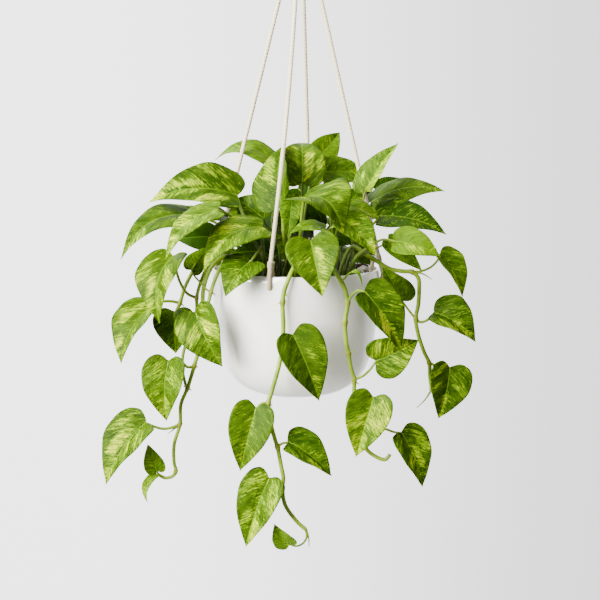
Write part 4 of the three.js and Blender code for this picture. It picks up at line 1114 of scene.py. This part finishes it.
def make_leaf_materials():
    pattern = leaf_pattern()
    skin = {"Specular_IOR_Level": 0.03, "Subsurface_Weight": 0.7, "Subsurface_Radius": (1.0, 1.0, 0.5),
            "Subsurface_Scale": 0.0016}
    board, shader = new_material("leaf_upper", **skin)
    leaf = board.add("ShaderNodeGroup", {"node_tree": pattern})
    board.feed(shader, Base_Color=leaf.outputs["Colour"], Roughness=leaf.outputs["Dullness"])
    relief(board, shader, leaf.outputs["Relief"], 0.9, 0.6)
    board, shader = new_material("leaf_under", Roughness=0.6, **skin)
    leaf = board.add("ShaderNodeGroup", {"node_tree": pattern})
    board.feed(shader, Base_Color=board.blend(0.45, leaf.outputs["Colour"], linear(92, 122, 16)))
    relief(board, shader, board.maths("MULTIPLY", leaf.outputs["Relief"], -1.0), 0.7, 0.6)


def make_stem_material():
    board, shader = new_material("stem_skin", Roughness=0.42, Specular_IOR_Level=0.25)
    place = board.place()
    broad = board.noise(place, 55.0, 3.0)
    fine = board.noise(place, 600.0, 3.0, 0.6)
    colour = board.blend(board.fade(broad, 0.3, 0.7), linear(90, 116, 14), linear(124, 150, 24))
    colour = board.blend(board.fade(fine, 0.45, 0.75, 0.0, 0.35), colour, linear(66, 90, 10))
    # Painted shade: low down inside the pot's mouth the stems are darkened towards a deep green, where the
    # crown and the pot shade them.
    x, y, z = board.add("ShaderNodeSeparateXYZ", Vector=place).outputs
    shade = board.fade(z, (RIM_Z - 10) * MM, (RIM_Z + 80) * MM, 0.95, 0.0)
    away = board.add("ShaderNodeVectorMath", {"operation": "LENGTH"},
                     i0=board.vector(board.maths("SUBTRACT", x, POT_X * MM), y)).outputs["Value"]
    inside = board.fade(away, 0.076, 0.09, 1.0, 0.0)
    colour = board.blend(board.maths("MULTIPLY", shade, inside), colour, linear(34, 48, 6))
    knot = board.maths("MULTIPLY", board.attribute("knot"), board.fade(fine, 0.35, 0.6, 0.15, 0.65))
    colour = board.blend(knot, colour, linear(120, 92, 30))
    board.feed(shader, Base_Color=colour)
    relief(board, shader, fine, 0.25, 0.5)


def make_cotton_material():
    board, shader = new_material("cotton", Roughness=0.88, Sheen_Weight=0.35, Sheen_Roughness=0.5)
    along, turn = board.attribute("along"), board.attribute("turn")
    place = board.place()
    yarn = board.maths("MULTIPLY_ADD", along, 0.62, board.maths("MULTIPLY", turn, 5.0))
    ridges = board.maths("ABSOLUTE", board.maths("SINE", board.maths("MULTIPLY", yarn, math.pi)))
    ridges = board.maths("POWER", ridges, 0.6)
    fuzz = board.noise(place, 900.0, 3.0, 0.7)
    # The grooves between the yarns are painted darker as painted shade, over the cotton's own uneven fuzz;
    # the same pattern gives the relief.
    tone = board.maths("MULTIPLY_ADD", fuzz, 0.5, board.maths("MULTIPLY", ridges, 0.5))
    colour = board.blend(board.fade(tone, 0.2, 0.7), linear(138, 122, 86), linear(222, 208, 174))
    # Low down, towards the pot, the cords run darker and browner.
    height = board.add("ShaderNodeSeparateXYZ", Vector=place).outputs[2]
    towards_pot = board.fade(height, (RIM_Z + 5) * MM, (RIM_Z + 170) * MM, 0.7, 0.0)
    low_colour = board.blend(board.fade(tone, 0.2, 0.7), linear(92, 78, 50), linear(172, 156, 120))
    colour = board.blend(towards_pot, colour, low_colour)
    board.feed(shader, Base_Color=colour)
    relief(board, shader, tone, 0.5, 0.8)


def make_glaze_material():
    board, shader = new_material("white_glaze", Coat_Weight=1.0, Coat_Roughness=0.14, Coat_IOR=1.7)
    place = board.place()
    broad = board.noise(place, 9.0, 2.0)
    fine = board.noise(place, 260.0, 2.0)
    pits = board.noise(place, 1400.0, 1.0)
    colour = board.blend(board.fade(broad, 0.3, 0.7), linear(235, 232, 220), linear(242, 240, 230))
    colour = board.blend(board.fade(pits, 0.72, 0.8, 0.0, 0.25), colour, linear(190, 182, 168))
    board.feed(shader, Base_Color=colour)
    board.feed(shader, Roughness=board.fade(fine, 0.3, 0.7, 0.12, 0.2))
    relief(board, shader, board.maths("MULTIPLY_ADD", broad, 8.0, fine), 0.05, 0.6)


def make_soil_material():
    board, shader = new_material("potting_soil", Roughness=0.95, Specular_IOR_Level=0.08)
    place = board.place()
    lumps = board.noise(place, 240.0, 4.0, 0.7)
    fine = board.noise(place, 1500.0, 3.0, 0.7)
    grit = board.attribute("grit")
    colour = board.blend(board.fade(lumps, 0.3, 0.7), linear(28, 20, 14), linear(66, 50, 36))
    colour = board.blend(board.fade(grit, 0.7, 0.75), colour, linear(98, 72, 46))
    colour = board.blend(board.fade(grit, 0.975, 0.98), colour, linear(205, 200, 188))
    board.feed(shader, Base_Color=colour)
    relief(board, shader, board.maths("ADD", lumps, fine), 1.2, 0.9)


def make_steel_material():
    board, shader = new_material("ring_steel", Metallic=1.0, Base_Color=linear(190, 190, 188))
    place = board.place()
    haze = board.noise(place, 500.0, 3.0)
    board.feed(shader, Roughness=board.fade(haze, 0.3, 0.7, 0.2, 0.36))
    relief(board, shader, haze, 0.03, 0.5)


def make_wall_material():
    board, shader = new_material("studio_wall", Roughness=0.95, Specular_IOR_Level=0.1)
    place = board.place()
    colour = board.blend(board.noise(place, 1.02, 2.0), linear(168, 168, 168), linear(173, 173, 173))
    board.feed(shader, Base_Color=colour)
    side, _, height = board.add("ShaderNodeSeparateXYZ", Vector=place).outputs
    # Painted light: the wall and floor glow by themselves though they are no lamp, most on the left, less to
    # the right and little low down on the floor.
    shader.inputs["Emission Color"].default_value = (1, 1, 1, 1)
    painted_glow = board.maths("MULTIPLY", board.fade(side, -0.7, 1.06, 2.7, 1.1),
                       board.fade(height, -2.78, -2.07, 0.2, 1.0))
    board.feed(shader, Emission_Strength=painted_glow)


# Studio: a pale floor that curves up into a wall, which stands behind the cameras of all the views, and
# large soft lights. The floor and wall also glow by themselves: painted light, brighter on the left.
FLOOR_Z = -3.01
FLOOR_WIDTH = 16.4
FLOOR_DEPTH = 7.05
WALL_Y = 3.4
WALL_TOP = 4.74
WALL_BEND = 1.057
PLANT_MIDDLE = (0, 0, -0.5)


def make_studio():
    deselect()
    bpy.ops.mesh.primitive_grid_add(x_subdivisions=2, y_subdivisions=60, size=1)
    sweep = bpy.context.object
    grid = mesh_places(sweep.data)
    rows = np.clip(grid[:, 1] + 0.5, 0, 1)
    places = np.zeros_like(grid)
    places[:, 0] = grid[:, 0] * FLOOR_WIDTH
    curve = WALL_BEND * math.pi / 2
    run = rows * (FLOOR_DEPTH + curve + (WALL_TOP - FLOOR_Z - WALL_BEND))
    turn = np.clip((run - FLOOR_DEPTH) / WALL_BEND, 0, math.pi / 2)
    places[:, 1] = WALL_Y - WALL_BEND - FLOOR_DEPTH + np.minimum(run, FLOOR_DEPTH) + WALL_BEND * np.sin(turn)
    places[:, 2] = FLOOR_Z + WALL_BEND * (1 - np.cos(turn)) + np.maximum(0, run - FLOOR_DEPTH - curve)
    sweep.data.vertices.foreach_set("co", places.ravel())
    sweep.name = "floor_and_wall"
    bpy.ops.object.shade_smooth()
    sweep.data.materials.append(bpy.data.materials["studio_wall"])


def make_light(name, place, size, power):
    lamp = bpy.data.lights.new(name, "AREA")
    lamp.shape = "RECTANGLE"
    lamp.size, lamp.size_y = size
    lamp.energy = power
    holder = put(name, lamp)
    holder.location = place
    holder.rotation_euler = (Vector(PLANT_MIDDLE) - Vector(place)).to_track_quat("-Z", "Y").to_euler()


def make_lights():
    world = bpy.data.worlds.new("soft_room")
    world.use_nodes = True
    board = Board(world.node_tree)
    height = board.add("ShaderNodeSeparateXYZ", Vector=board.add("ShaderNodeTexCoord").outputs["Generated"])
    background = world.node_tree.nodes["Background"]
    background.inputs["Color"].default_value = (1, 0.98, 0.9, 1)
    board.feed(background, Strength=board.fade(height.outputs[2], -0.2, 0.5, 0.06, 0.5))
    bpy.context.scene.world = world
    make_light("window_left", (-1.9, -1.6, 0.65), (2.2, 2.4), 600)
    make_light("fill_right", (1.8, -1.6, 0.2), (1.2, 1.6), 4)
    make_light("overhead", (0.1, -0.3, 1.3), (1.8, 1.6), 36)


make_camera()
make_leaf_materials()
make_stem_material()
make_cotton_material()
make_glaze_material()
make_soil_material()
make_steel_material()
make_wall_material()
for cord_name in CORD_HOLES:
    make_cord(cord_name)
make_gather()
make_ring()
make_pot()
make_soil()
make_plants()
make_studio()
make_lights()
